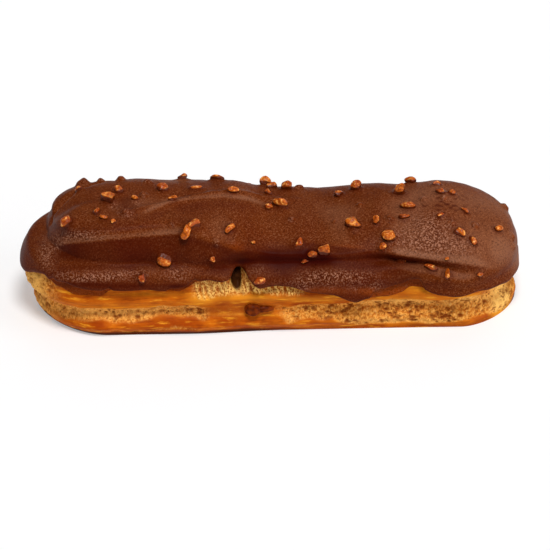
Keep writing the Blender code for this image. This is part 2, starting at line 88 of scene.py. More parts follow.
# The plain log, as the solids have it
CHOUX_LENGTH = 136.8 * MM
CHOUX_WIDTH = 39.0 * MM
CHOUX_HEIGHT = 32.2 * MM
FOOT_WIDTH = 37.0 * MM
WIDEST_HEIGHT = 13.0 * MM
SECTION_POWER = 2.7
FOOT_FLARE = 2.4
END_LEFT = 20.0 * MM
END_RIGHT = 16.0 * MM
END_POWER = 2.2
# The ends are more pointed near the foot: how much their power falls, and between which heights
POINTED = (0.5, 4 * MM, 13 * MM)
# The log bends to the back from left to right: by how much, and between which places
BEND = 1.3 * MM
BEND_SPAN = mm(-22, 6)
# Below a height the left end is drawn in, most at the foot, by a power; between two others it leans in
LEFT_TUCK = (12 * MM, 3.6 * MM, 1.4)
LEFT_LEAN = mm(14, 20, 1.4)
# Below a height the right end is drawn out, most at the foot
RIGHT_OUT = mm(12, 1.7)
# The ends' leans die away towards the other end by this power
LEAN_POWER = 4
# The upper lobe stands back from the left end, less at its back
LOBE_INSET = 5.0 * MM
LOBE_BACK = 0.6
# The lobe's front corner is squarer on the left: its section's power there, and where that fades out
CORNER_POWER = 6.0
CORNER_FADE = mm(-26, -6)
# The lobe's front stands back from the roll under it, on the left and on the right, changing between
LOBE_STEP = mm(2.3, 0.6)
LOBE_STEP_SPAN = mm(-30, -14)
# Heights over which that step is made, and over which the lobe's inset from the left end starts
LEDGE = mm(19.0, 22.8)
LOBE_FOOT = mm(19.5, 22.5)
# The step and the corner fade out over this share of the turn to the ends, and the step near the
# crown's middle over this share of the half-width
FRONT_TURN = 0.6
LEDGE_SHARE = 0.6
CROWN_PIVOT = 21.0 * MM
CROWN_DROP = 0.34
CROWN_DROP_SPAN = mm(-10.5, 2.5)
# Swells and notches of the crown: place along the log, reach, share of the lobe's height
CROWN_WAVES = (
    (64 * MM, 9 * MM, -0.22),
    (47 * MM, 7 * MM, 0.13),
    (32 * MM, 6 * MM, 0.09),
    (16 * MM, 7 * MM, -0.12),
    (-36 * MM, 8 * MM, 0.05),
)

# Piped rolls: height, reach, how far they stand proud
ROLLS = mm((3.0, 1.5, 0.9), (11.8, 2.1, 0.9), (17.2, 2.1, 0.5))
# The rolls lose this share at the left end, and the lowest one at the right: between which places
ROLL_LOSS = 0.7
ROLLS_END = mm(54, 64)
LOW_ROLL_END = mm(20, 36)
# The valley over the glazed roll: its height, its reach and its depth at places along the log
VALLEY_LINE = mm((-60, 21.2), (20, 21.2), (33, 22.2), (43, 20.6), (52, 19.2), (60, 18.4))
VALLEY_REACH = mm((-24, 1.3), (-12, 2.2), (28, 2.2), (36, 1.1))
VALLEY_DEPTH = mm((-24, -0.2), (-12, -1.2), (28, -1.4), (36, -1.9))
VALLEY_UNEVEN = 0.35
# The split between the lower rolls: height, reach, depth; then where it is nearly closed, and how much
SPLIT = mm(7.0, 1.8, -1.5)
SPLIT_CLOSED = (1 * MM, 17 * MM, 0.7)
# The shoulder of the upper lobe: its height at places along the log, its reach and how far it stands
# proud; then the hollow face under it, on the left alone, and how far its edges are from both lines
SHOULDER_LINE = mm((-60, 27), (-50, 28), (-32, 29), (-26, 29.2), (-19, 28.1), (-8, 25.6), (3, 24.4),
                   (17, 23.7), (33, 24.4), (43, 22.4), (50, 21.2), (60, 20.2))
SHOULDER_REACH = 1.2 * MM
SHOULDER_RISE = 0.5 * MM
FACE_HOLLOW = -0.4 * MM
FACE_BOTTOM = mm(-0.7, 0.8)
FACE_BROW = mm(-1.6, -0.2)
LEFT_PART = mm(-22, -12)
# Valley and shoulder die away before the right end
FORMS_END = mm(50, 60)
# The ridge along the top of the left half: its place across at places along, reach and height, and
# where it starts and ends; ridge and dent are only above these heights
RIDGE_LINE = mm((-38, -9.5), (-19, -1.5), (-5, 2.5), (20, 5))
RIDGE = mm(1.6, 0.9)
RIDGE_SPAN = mm(-44, -34, 0, 14)
ON_TOP = mm(27, 30)
# The groove between the lobe and the roll behind it at the left: place across at places along, reach
# and depth, where it ends, and above which heights it lies
BACK_GROOVE = mm((-60, 1), (-56, 5), (-50, 9), (-42, 12.5))
GROOVE = mm(1.3, -1.2)
GROOVE_END = mm(-46, -38)
GROOVE_HEIGHT = mm(23, 26)
# A dent of the top: place along, place across, reach and depth
DENT = mm(-39, 1, 5.5, -1.0)
UNEVEN = 0.4 * MM
UNEVEN_SIZE = 14 * MM

# The glaze's lower edge: its plain height, and on the front, from left to right, place along the log
# and height; a drip of the back has a place, a reach and how far it hangs down
GLAZE_EDGE = 15.2 * MM
FRONT_EDGE = mm(
    (-68, 13.8), (-64.7, 16.2), (-61.3, 17.3), (-60.2, 15.6), (-55.7, 14.4), (-51.4, 13.5), (-46.5, 13.3),
    (-43.6, 15.5), (-32, 15.3), (-25, 14.2), (-21.4, 16.1), (-19.7, 17.7), (-16.6, 18.6), (-13.5, 17.4),
    (-11.2, 17.7), (-10, 18.7), (-9.3, 19.2), (-7, 19.2), (-5.9, 17.9), (-2.8, 15), (2, 15.2), (5.9, 14.6),
    (12, 12.8), (17.4, 12.6), (21.9, 10.8), (25, 9.5), (26.9, 11), (33, 11), (38.2, 12.6), (39.3, 14),
    (43, 13.6), (45.3, 12.6), (51.4, 11.4), (59, 12), (63.8, 11.4), (67.5, 10.4))
EDGE_SOFTNESS = 0.8 * MM
EDGE_WOBBLE = 0.35 * MM
BACK_DRIPS = mm((-44, 7, 2.2), (-12, 9, -1.8), (30, 8, 2.4))
# The small arch in the edge: place, reach and rise; then the hole in the crumb under it: place, level,
# half-width, half-height and depth, and between which places its painted shade lightens
ARCH = mm(-8.0, 1.9, 1.7)
HOLE = mm(-8.5, 17.9, 2.0, 4.6, 3.6)
HOLE_SHADE_SPAN = mm(-7.9, -6.9)
# The glaze's cover, and how it is thicker on the roll under the lobe, away from the ends: height,
# reach, rise; the lumps have a place, a level, a reach and a rise
GLAZE_COVER = 1.6 * MM
GLAZE_ROLL = mm(17, 3.5, 0.6)
GLAZE_ROLL_SPAN = mm(-66, -54, 56, 66)
GLAZE_LUMPS = mm((-9, 26, 3.2, 1.0), (-8, 22, 2.0, -0.9), (-2.8, 18, 2.8, 1.1), (18, 18.5, 7.5, 1.1),
                 (53, 16, 8.0, 1.1), (38, 17, 4.0, -0.7))
BEAD = 1.5 * MM
# The glaze starts this far inside the choux, and is reddish where its cover is less than this
GLAZE_SUNK = 0.1 * MM
THIN_COVER = 1.3 * MM
# Uneven cover: by how much, and the size of the lumps
GLAZE_UNEVEN = mm((0.14, 6), (0.05, 2))
# Thin films under the rounded lip: where each starts and ends, and its width; how long their ends are,
# their thickness, and over which depth that comes from nothing at the edge
SMEARS = mm((-61, -43, 2.4), (-29, -19, 1.3), (28, 44, 2.8))
SMEAR_END = 2 * MM
SMEAR_COVER = 0.28 * MM
SMEAR_EDGE = 0.3 * MM
# What only the front has fades out over this depth in front of the middle plane
FRONT_DEPTH = 8 * MM

# Lines and spots of the glaze's tone in the photograph's pixels: the top and the bottom of the face under
# the lobe, which is painted in shade, and the ridge near the crown, which has a painted highlight
FACE_TOP = ((58, 245), (110, 240), (154, 236), (180, 234), (205, 240), (240, 250), (270, 250), (300, 241),
            (345, 246), (385, 253), (430, 260), (480, 266), (500, 271))
FACE_FOOT = ((58, 261), (110, 265), (160, 265), (200, 270), (240, 270), (290, 268), (335, 270), (385, 269),
             (420, 266), (440, 265), (475, 269), (500, 272))
FACE_SPAN = (54, 66, 470, 500)
FACE_SOFT = 5
FACE_SWAY = 2.5
CROWN_RIDGE = ((140, 216), (152, 210), (170, 202), (200, 198), (225, 196), (250, 199), (268, 205))
CROWN_RIDGE_SPAN = (138, 155, 250, 272)
# The painted sheen of the right tip: columns over which it grows, its row and its reach
TIP_SHEEN = (484, 502, 252, 18)
# The painted highlight over the shaded face fades out between the first two columns and comes back at the
# others
HIGHLIGHT_LINE = (185, 215, 380, 400)
# A spot has a column, a row, a reach across, a reach down and a strength: frost with painted glints, then
# painted shade
FROST_GLINT_SPOTS = (
    (110, 276, 50, 5, 0.2), (332, 276, 38, 7, 0.8), (46, 252, 6, 13, 0.9), (262, 268, 10, 5, 1),
    (52, 264, 7, 7, 0.7), (64, 274, 9, 5, 0.8), (84, 279, 14, 4, 0.8), (112, 277, 16, 4, 0.5),
    (134, 271, 14, 4, 0.6), (90, 236, 35, 5, 0.7), (425, 228, 24, 14, 0.9), (418, 243, 28, 9, 0.8),
    (460, 250, 20, 10, 0.5), (60, 247, 7, 6, 0.9), (180, 274, 12, 8, 0.5), (128, 214, 8, 5, 0.9),
    (140, 203, 7, 5, 0.5), (117, 206, 6, 4, 0.8), (300, 280, 60, 8, 0.2), (302, 288, 7, 4, 0.5),
    (330, 288, 6, 4, 0.5), (352, 289, 6, 4, 0.5), (375, 287, 8, 4, 0.6),
)
PAINTED_SHADE_SPOTS = (
    (243, 261, 13, 4, 1.0), (215, 268, 18, 10, 0.5), (265, 253, 20, 8, 0.6), (318, 256, 14, 6, 0.6),
    (128, 205, 12, 9, 0.6), (225, 268, 20, 7, 0.6), (390, 268, 22, 6, 0.6), (240, 247, 14, 5, 0.4),
    (85, 284, 34, 4, 0.9), (140, 286, 40, 3.5, 0.9), (180, 286, 15, 3, 0.8), (45, 273, 14, 3, 0.4),
    (335, 293, 30, 4, 0.3), (57, 256, 4, 12, 0.6), (64, 271, 6, 5, 0.5), (288, 277, 14, 7, 0.5),
    (266, 280, 8, 6, 0.4), (325, 261, 44, 9, 1.15), (84, 267, 24, 4, 0.6), (110, 226, 40, 5, 0.25),
    (276, 264, 28, 14, 0.85), (402, 278, 20, 8, 0.7), (305, 250, 26, 6, 0.7), (130, 267, 28, 4, 0.9),
)
# Where the glaze is pocked with small hollows, painted dark as shade, and where it is thin and reddish
POCKED = ((445, 205, 30, 16, 0.9), (128, 208, 16, 10, 0.9), (40, 245, 14, 20, 0.6), (310, 274, 50, 8, 0.9))
RED_SPOTS = (
    (325, 290, 32, 5, 0.6), (375, 291, 20, 5, 0.6), (237, 248, 12, 7, 0.6), (308, 260, 8, 4, 0.5),
    (345, 247, 25, 4, 0.4), (258, 279, 9, 5, 0.5), (183, 288, 10, 3, 0.5),
)
# Golden spots of the crust and open crumb, partly painted highlights; the columns over which the ends turn
# golden, partly painted light; and brown and olive spots of the crust and of the torn patch
BRIGHT_SPOTS = (
    (400, 300, 40, 4, 0.95), (418, 289, 22, 5, 0.8), (470, 298, 20, 5, 1), (400, 321, 60, 3, 0.7),
    (240, 297, 34, 4, 1.1), (120, 311, 60, 6, 0.8), (201, 299, 12, 6, 1.1), (305, 299, 30, 2.5, 0.7),
    (150, 294, 40, 2, 0.5), (235, 314, 25, 1.5, 0.7),
)
BRIGHT_RIGHT = (484, 498)
BRIGHT_LEFT = (52, 36)
DULL_SPOTS = ((265, 322, 45, 6, 0.3), (247, 280, 4, 9, 0.6), (212, 286, 5, 6, 0.6), (222, 296, 8, 2, 0.3))

# Bare chopped nuts in view, in the photograph's pixels: x, y, length, width, lean in degrees
BARE_NUTS = (
    (70, 222, 10, 9, 20), (99, 212, 8, 6, 60), (107, 218, 8, 5, -40), (116, 222, 5, 4, 0),
    (111, 198, 9, 13, 30), (121, 190, 9, 7, 60), (137, 199, 6, 5, -10), (164, 188, 9, 7, 20),
    (175, 199, 7, 5, 0), (185, 175, 9, 7, 0), (197.5, 188, 14, 5, 5), (218.6, 174, 12, 7, 0),
    (233, 189, 9, 5, 0), (189, 231, 13, 9, 55), (195, 225, 11, 9, 15), (231.7, 229, 12, 6, 50),
    (213, 258, 7, 5, -40), (163, 260, 14, 9, -10), (143, 276, 9, 6, 85), (273, 186, 8, 6, 20),
    (269, 193, 7, 5, 0), (289, 187, 12, 9, 0), (281, 205, 16, 9, -50), (269, 208, 8, 6, 0),
    (300, 243, 13, 6, 62), (312, 253.5, 8, 5, 0), (326, 250, 10, 9, 0), (255, 242, 4, 3, 0),
    (340, 193.5, 8, 7, 0), (357, 187, 10, 8, 60), (411.6, 181, 9, 7, 0), (402, 192, 13, 11, 0),
    (408, 206, 14, 8, -8), (405, 217, 9, 5, 10), (376, 221, 7, 6, 30), (354, 224, 12, 9, -40),
    (389, 235, 11, 10, 60), (383, 247.5, 8, 6, 20), (430, 268.6, 11, 5, -25), (437, 184, 9, 4, 0),
    (442, 191, 9, 6, 0), (452.5, 193, 8, 6, -40), (465.5, 211, 8, 5, -45), (459, 231, 11, 7, -50),
    (472.6, 241, 9, 6, -60), (497, 229, 8, 6, 30), (446, 259, 4, 3, 0), (446, 274, 11, 4.5, 95),
    (477.5, 274, 6, 4, 0), (304.5, 260.5, 6, 4, 0), (259, 279.5, 8, 6, 0), (441, 215, 6, 4, 0),
    (267, 183.5, 10, 8, 0),
)
# The glaze over a coated nut, and its low fillet round a bare one: height and reach in the nut's sizes,
# and the power that flattens its top
MOUND = (0.42, 0.62, 4)
FILLET = (0.26, 0.85, 3)
# Nuts that the glaze covers: x, y, size
COATED_NUTS = (
    (84, 182, 12), (123, 178, 9), (103, 181, 7), (145.5, 196, 8), (150, 182, 8), (217.6, 244, 6),
    (128, 213, 9), (301, 188, 8), (293, 220, 6), (390, 219, 8), (445, 199, 8), (451.5, 224, 8),
    (506, 207, 8), (511, 236, 8), (512, 246, 7), (474, 226, 8), (361, 205, 6), (424, 199, 6),
    (173, 225, 5), (336, 222, 5),
)
# Nuts behind, out of the photograph's sight: how many, how large, how far along the log, how far apart,
# and which share is coated; they stay below the skyline of the glaze, taken over strips of a width
BACK_NUTS = 30
NUT_SIZES = mm(1.6, 3.2)
BACK_REACH = 56 * MM
NUT_SPACING = 5 * MM
COATED_SHARE = 0.3
SKYLINE_MARGIN = 2.5 * MM
SKYLINE_REACH = 3 * MM
# Length and width of a nut behind for its size, a nut's height for its width, how far its middle stands
# out of the glaze, in widths, the planes that chop it and the power that rounds its edges
NUT_LENGTH = 1.2
NUT_WIDTH = 0.8
NUT_HEIGHT = 0.85
NUT_STANDS = 0.35
NUT_PLANES = 8
ROUNDING = 8
SEED = 7

# The open crumb between the rolls: its lower and upper height, how these change near the middle and far
# to the right, and between which places; where it is closed in the middle; how soft its edges are
CRUMB_LOW = mm(4.9, -1.8, -1.4)
CRUMB_HIGH = mm(8.9, -1.4, 2.3)
CRUMB_NEAR = mm(1, 6)
CRUMB_FAR = mm(18, 28)
CRUMB_CLOSED = mm(-19, -16, 1, 7)
CRUMB_SOFT = mm(0.4, 0.5)
# The crumb at the ends: places and heights over which it starts; then a pale line over the foot
LEFT_CRUMB = mm(56, 63, 0.8, 2.2)
RIGHT_CRUMB = mm(58, 64, 1.5, 2.5)
PALE_LINE = mm(1.9, 0.35)
PALE_LINE_START = mm(12, 22)
PITS = 1400
PIT_DEPTH = 0.45 * MM
# The torn patch by the hole: where it starts and ends, and the heights over which it starts
TORN_SPAN = mm(-22, -19, 6, 12)
TORN_HEIGHT = mm(11.6, 13.4)
# The dark foot: heights over which it ends, and where it fades on the front
FOOT_HEIGHT = mm(0.9, 1.4)
FOOT_FADE = mm(-5, 8)

# The dab of filling, in shares of its length: the lump's middle, and the tail's middle, half-length and
# half-height; then its dimple: place, reach along, reach up and depth
DAB_LUMP = 0.28
DAB_TAIL = (0.52, 0.48, 0.5)
DIMPLE = mm(1.9, 0.9, 0.7, 0.7)

# Grid sizes
SIDE_COLUMNS = 335
END_COLUMNS = 135
GLAZE_ROWS = 84
INNER_ROWS = 10
BARE_ROWS = 58
HIDDEN_ROWS = 10
DAB_COLUMNS = 32
DAB_ROWS = 60
WAVES = 14

# Colours, as linear red, green and blue
GLAZE_COLOURS = {
    # The milky and bloomed colours carry the dull bloom and the painted sheen and highlights
    "dark": (0.088, 0.0090, 0.0004), "milky": (0.140, 0.026, 0.0028), "sheen": (0.23, 0.085, 0.042),
    "thin": (0.26, 0.042, 0.002), "light grain": (0.26, 0.088, 0.036), "dark grain": (0.035, 0.005, 0.001),
    # The shaded and deep colours are painted shade, the deep one in the darkest middle of the valley
    "shaded": (0.052, 0.0032, 0.0001), "deep": (0.034, 0.0012, 0.0),
    # The frost colour is painted glints on the frosty grain, and the dark one the specks between them
    "dark speck": (0.040, 0.0035, 0.0002), "frost_and_glints": (0.50, 0.23, 0.140),
}
CHOUX_COLOURS = {
    "baked": (0.36, 0.050, 0.0010), "golden": (0.60, 0.130, 0.003), "dark streak": (0.22, 0.028, 0.001),
    # The bright crust and bright crumb colours carry painted highlights and painted light, partly golden
    # crust
    "light streak": (1.0, 0.42, 0.024), "bright crust": (1.0, 0.40, 0.022), "crumb": (0.56, 0.155, 0.013),
    "pale crumb": (0.88, 0.39, 0.070), "bright crumb": (1.0, 0.56, 0.14), "fleck": (0.26, 0.055, 0.006),
    "light fleck": (1.0, 0.58, 0.17), "torn": (0.38, 0.10, 0.008), "torn tips": (1.0, 0.60, 0.16),
    # The pit colour is painted shade in the crumb's pits, also laid on dull spots
    "pit_shade_and_dull_spot": (0.22, 0.040, 0.004), "shaded_hole": (0.05, 0.013, 0.002), "foot": (0.085, 0.014, 0.001),
}
NUT_COLOURS = {
    # The bare colour is bare caramel lightened into painted highlights
    "dark": (0.35, 0.050, 0.0030), "light": (0.58, 0.125, 0.0070), "bare": (1.0, 0.42, 0.085),
    "toasted": (0.15, 0.020, 0.002), "coat": (0.10, 0.014, 0.0014),
}
FILLING_COLOURS = {"dark": (0.080, 0.009, 0.0004), "milky": (0.19, 0.030, 0.003)}

# The suns: name, direction, strength, spread in degrees
SUNS = (
    ("key", (0.1, -0.45, 1.0), 2.5, 20),
    ("fill", (0.2, 0.6, 0.8), 0.4, 60),
    ("side", (1.0, -0.35, 0.35), 1.1, 40),
)
FLOOR_REACH = 4
SENSOR = 36


def fade(value, start, end):
    """0 before start, 1 after end, and an even S between them; start may be the higher one."""
    share = np.clip((value - start) / (end - start), 0, 1)
    return share * share * (3 - 2 * share)


def bump(value, centre, reach):
    """A smooth hill, 1 high at its centre, that has died away at about twice its reach."""
    return np.exp(-(((value - centre) / reach) ** 2))


def swell(value, centre, reach, rise):
    """A smooth hill of a height, or a hollow of a depth."""
    return rise * bump(value, centre, reach)


def waves(points, size, seed, count=WAVES):
    """Smooth noise of about -1 to 1: a sum of sine waves in random directions, with lumps of a size."""
    rng = np.random.default_rng(seed)
    directions = rng.normal(size=(count, 3))
    directions /= np.linalg.norm(directions, axis=1, keepdims=True)
    turns = PI / size * rng.uniform(0.5, 1.3, (count, 1)) * directions
    phases = rng.uniform(0, 2 * PI, count)
    return np.sin(points @ turns.T + phases).sum(axis=-1) * 1.5 / count ** 0.5 / 2


def metres(pixels):
    """A length of the photograph's pixels, in metres."""
    return pixels / PIXELS_PER_MM * MM


def spots(table, column, row):
    """The sum of soft spots: each has a place, a reach across and down, and a strength."""
    return sum(strength * bump(column, x, wide) * bump(row, y, high) for x, y, wide, high, strength in table)


def on_front(y):
    """1 on the front side of the log, fading to 0 at its middle plane."""
    return fade(-y, 0, FRONT_DEPTH)


def plateau(value, start, full, still, end):
    """0 before start, 1 from full to still, 0 after end, and even S curves between them."""
    return fade(value, start, full) * (1 - fade(value, still, end))


def section(share):
    """Half-width and height of the plain log at a share of the way from the foot's edge to the crown.

    Below the widest height the side flares by a power; above it the section is a superellipse.
    """
    low = np.linspace(0, 1, 400)
    turn = np.linspace(0, PI / 2, 4000)[1:]
    half, foot = CHOUX_WIDTH / 2, FOOT_WIDTH / 2
    width = np.concatenate([half - (half - foot) * (1 - low) ** FOOT_FLARE,
                            half * np.cos(turn).clip(0) ** (2 / SECTION_POWER)])
    height = np.concatenate([WIDEST_HEIGHT * low,
                             WIDEST_HEIGHT + (CHOUX_HEIGHT - WIDEST_HEIGHT)
                             * np.sin(turn) ** (2 / SECTION_POWER)])
    width[-1] = 0
    run = np.concatenate([[0], np.cumsum(np.hypot(np.diff(width), np.diff(height)))])
    return np.interp(share * run[-1], run, width), np.interp(share * run[-1], run, height)


def share_at_height(height):
    """The share of the section at which the plain log reaches a height."""
    shares = np.linspace(0, 0.9, 3000)
    return np.interp(height, section(shares)[1], shares)


def columns():
    """Place along the straight, -1 to 1, and outward direction of each column round the outline."""
    side = (np.arange(SIDE_COLUMNS) + 0.5) / SIDE_COLUMNS * 2 - 1
    end = (np.arange(END_COLUMNS) + 0.5) / END_COLUMNS * PI - PI / 2
    ones = np.ones(END_COLUMNS)
    along = np.concatenate([side, ones, -side, -ones])
    turn = np.concatenate([np.full(SIDE_COLUMNS, -PI / 2), end,
                           np.full(SIDE_COLUMNS, PI / 2), end + PI])
    return along, turn


def plain_log(share):
    """Points of the log without its rolls, and the section's heights before the crown is bent.

    Each column's section stands on a straight line with rounded ends, and its reach outwards is the
    section's half-width times a power of the sine and cosine of the column's direction. The lobe stands
    back, both ends lean by a power of the place along, and above the pivot the crown is scaled.
    """
    along, turn = (a[:, None] for a in columns())
    width, height = section(share)
    wide = width / (CHOUX_WIDTH / 2)
    high = np.clip((height - WIDEST_HEIGHT) / (CHOUX_HEIGHT - WIDEST_HEIGHT), 0, 1)
    square = (np.clip(wide, 1e-6, 1) ** CORNER_POWER + high ** CORNER_POWER) ** (-1 / CORNER_POWER)
    straight = along * (CHOUX_LENGTH / 2 - END_LEFT)
    facing = fade(-np.sin(turn), 0, FRONT_TURN)
    push = (square - 1) * facing * (1 - fade(straight, *CORNER_FADE)) * (high > 0)
    width = width * (1 + push)
    lobe = fade(height, *LOBE_FOOT)
    top, tuck, tuck_power = LEFT_TUCK
    low, high, lean = LEFT_LEAN
    inset = tuck * np.clip(1 - height / top, 0, 1) ** tuck_power + lean * fade(height, low, high)
    back = fade(np.sin(turn), -0.1, 0.8) * fade(wide, 0, 0.5)
    inset = inset + LOBE_INSET * lobe * (1 - LOBE_BACK * back)
    top, out = RIGHT_OUT
    outset = out * np.clip(1 - height / top, 0, 1)
    left, right = -CHOUX_LENGTH / 2 + END_LEFT, CHOUX_LENGTH / 2 - END_RIGHT
    across, out = np.sin(turn), np.cos(turn)
    pointed, low, high = POINTED
    power = 2 / (END_POWER - pointed * (1 - fade(height, low, high)))
    out = np.sign(out) * np.abs(out) ** power
    across = np.sign(across) * np.abs(across) ** power
    reach = np.where(out < 0, END_LEFT, END_RIGHT) * wide
    share = (along + 1) / 2
    x = left + (right - left) * share + inset * (1 - share) ** LEAN_POWER
    x = x + outset * share ** LEAN_POWER + reach * out
    y = width * across + BEND * fade(x, *BEND_SPAN) - BEND / 2
    step = LOBE_STEP[0] + (LOBE_STEP[1] - LOBE_STEP[0]) * fade(x, *LOBE_STEP_SPAN)
    y = y + step * fade(height, *LEDGE) * facing * fade(wide, 0, LEDGE_SHARE)
    crown = 1 - CROWN_DROP * fade(x, *CROWN_DROP_SPAN) + sum(swell(x, *wave) for wave in CROWN_WAVES)
    z = np.minimum(height, CROWN_PIVOT) + np.maximum(height - CROWN_PIVOT, 0) * crown
    z = z + (height - WIDEST_HEIGHT) * push * crown
    return np.stack([x, y, z], axis=-1), height


def normals(points):
    """Outward directions of a grid of points, straight up at the crown."""
    round_log = np.roll(points, -1, axis=0) - np.roll(points, 1, axis=0)
    upward = np.gradient(points, axis=1)
    normal = np.cross(round_log, upward)
    length = np.linalg.norm(normal, axis=-1, keepdims=True)
    normal = np.where(length > 1e-14, normal / np.maximum(length, 1e-14), [0, 0, 1])
    normal[:, -1] = [0, 0, 1]
    return normal


def height_along(line, x):
    """Height of a line that runs along the log, from its heights at a few places."""
    line = np.asarray(line)
    return np.interp(x, line[:, 0], line[:, 1])


def baked_relief(points, height):
    """How far the piped rolls, the split, the lobe's ridges and the uneven skin stand proud.

    Each roll, valley, shoulder, ridge, groove and dent is a bump across its line, faded out along the
    log, and smooth noise is added to their sum.
    """
    x, y = points[..., 0], points[..., 1]
    proud = sum(swell(height, *roll) for roll in ROLLS) * (1 - ROLL_LOSS * fade(-x, *ROLLS_END))
    proud -= ROLL_LOSS * swell(height, *ROLLS[0]) * fade(x, *LOW_ROLL_END)
    proud += swell(height, *SPLIT) * (1 - swell(x, *SPLIT_CLOSED))
    valley, shoulder = height_along(VALLEY_LINE, x), height_along(SHOULDER_LINE, x)
    before_end = 1 - fade(x, *FORMS_END)
    deep = height_along(VALLEY_DEPTH, x) * (1 + VALLEY_UNEVEN * waves(points, 10 * MM, 5))
    proud += deep * bump(height, valley, height_along(VALLEY_REACH, x)) * before_end
    proud += SHOULDER_RISE * bump(height, shoulder, SHOULDER_REACH) * before_end
    face = fade(height, valley + FACE_BOTTOM[0], valley + FACE_BOTTOM[1])
    face = face * (1 - fade(height, shoulder + FACE_BROW[0], shoulder + FACE_BROW[1]))
    proud += FACE_HOLLOW * face * (1 - fade(x, *LEFT_PART))
    on_top = fade(height, *ON_TOP)
    reach, rise = RIDGE
    ridged = plateau(x, *RIDGE_SPAN) * on_top
    proud += rise * bump(y, height_along(RIDGE_LINE, x), reach) * ridged
    reach, depth = GROOVE
    groove = bump(y, height_along(BACK_GROOVE, x), reach) * (1 - fade(x, *GROOVE_END))
    proud += depth * groove * fade(height, *GROOVE_HEIGHT)
    place, across, reach, depth = DENT
    proud += depth * bump(x, place, reach) * bump(y, across, reach) * on_top
    return proud + UNEVEN * waves(points, UNEVEN_SIZE, 3)


def edge_height():
    """Height of the glaze's lower edge at each column, worked out again at the place where it lies."""
    along, turn = columns()
    front = fade(-np.sin(turn), -0.4, 0.4)
    spread = EDGE_SOFTNESS * np.linspace(-1, 1, 5)
    place, reach, rise = ARCH
    edge = np.full(len(along), GLAZE_EDGE)
    for _ in range(4):
        plain = plain_log(share_at_height(edge)[:, None])[0][:, 0]
        x = plain[:, 0]
        near = height_along(FRONT_EDGE, x[:, None] + spread).mean(axis=1)
        near = near + rise * np.exp(-(((x - place) / reach) ** 4))
        ends = height_along((FRONT_EDGE[0], FRONT_EDGE[-1]), x)
        far = GLAZE_EDGE + (ends - GLAZE_EDGE) * np.cos(turn) ** 2
        far = far - sum(swell(x, *drip) for drip in BACK_DRIPS)
        edge = near * front + far * (1 - front) + EDGE_WOBBLE * waves(plain, 3.5 * MM, 21)
        edge = (np.roll(edge, 1) + edge + np.roll(edge, -1)) / 3
    return edge


EDGE = edge_height()
EDGE_SHARE = share_at_height(EDGE)[:, None]
SECTION_RUN = np.hypot(*np.diff(section(np.linspace(0, 1, 2000)), axis=1)).sum()


def steps(start, end, count):
    """Even steps from start to end for each column, with both ends."""
    return start + (end - start) * np.linspace(0, 1, count)[None, :]


def glaze_skin(mounds):
    """Points and normals of the glaze's outer skin, and how thin it is over the choux.

    Its cover is even, thicker on the lower roll and on lumps, rounds off to nothing at the edge by a
    quarter circle, and rises into mounds over the nuts.
    """
    share = steps(EDGE_SHARE, np.ones_like(EDGE_SHARE), GLAZE_ROWS)
    plain, height = plain_log(share)
    normal = normals(plain)
    x, front = plain[..., 0], on_front(plain[..., 1])
    cover = GLAZE_COVER + swell(height, *GLAZE_ROLL) * plateau(x, *GLAZE_ROLL_SPAN)
    for place, level, reach, rise in GLAZE_LUMPS:
        cover = cover + rise * bump(x, place, reach) * bump(height, level, reach) * front
    for seed, (rise, size) in enumerate(GLAZE_UNEVEN, 31):
        cover = cover + rise * waves(plain, size, seed)
    from_edge = (share - EDGE_SHARE) * SECTION_RUN
    smear = sum(width * plateau(x, start, start + SMEAR_END, end - SMEAR_END, end)
                for start, end, width in SMEARS) * front
    past_smear = np.clip((from_edge - smear * (1 + 0.3 * waves(plain, 3 * MM, 33))) / BEAD, 0, 1)
    film = SMEAR_COVER * np.clip(from_edge / SMEAR_EDGE, 0, 1) * fade(smear, 0, 0.5 * MM)
    rounded = np.sqrt(1 - (1 - past_smear) ** 2)
    cover = film * (1 - rounded) + cover * rounded
    thin = np.clip(1 - cover / THIN_COVER, 0, 1)
    skin = plain + normal * (baked_relief(plain, height) + cover - GLAZE_SUNK)[..., None]
    skin = skin + normal * mounds(skin)[..., None]
    return skin, normals(skin), thin


def photo_place(points):
    """Column and row of the photograph's pixels at which each point falls."""
    across = ORIGIN_X + points[..., 0] / MM * PIXELS_PER_MM
    return across, ORIGIN_Y - math.tan(VIEW_ROLL) * (across - ORIGIN_X) - points @ UP / MM * PIXELS_PER_MM


def nearest(skin, outward, x_pixel, y_pixel):
    """The skin's point that the camera sees at a pixel, as an index."""
    along = metres(x_pixel - ORIGIN_X)
    high = metres(ORIGIN_Y - y_pixel - math.tan(VIEW_ROLL) * (x_pixel - ORIGIN_X))
    away = np.hypot(skin[:, 0] - along, skin @ UP - high) - 0.02 * (skin @ LOOK)
    return int(np.argmin(np.where(outward @ LOOK > 0.05, away, 1)))


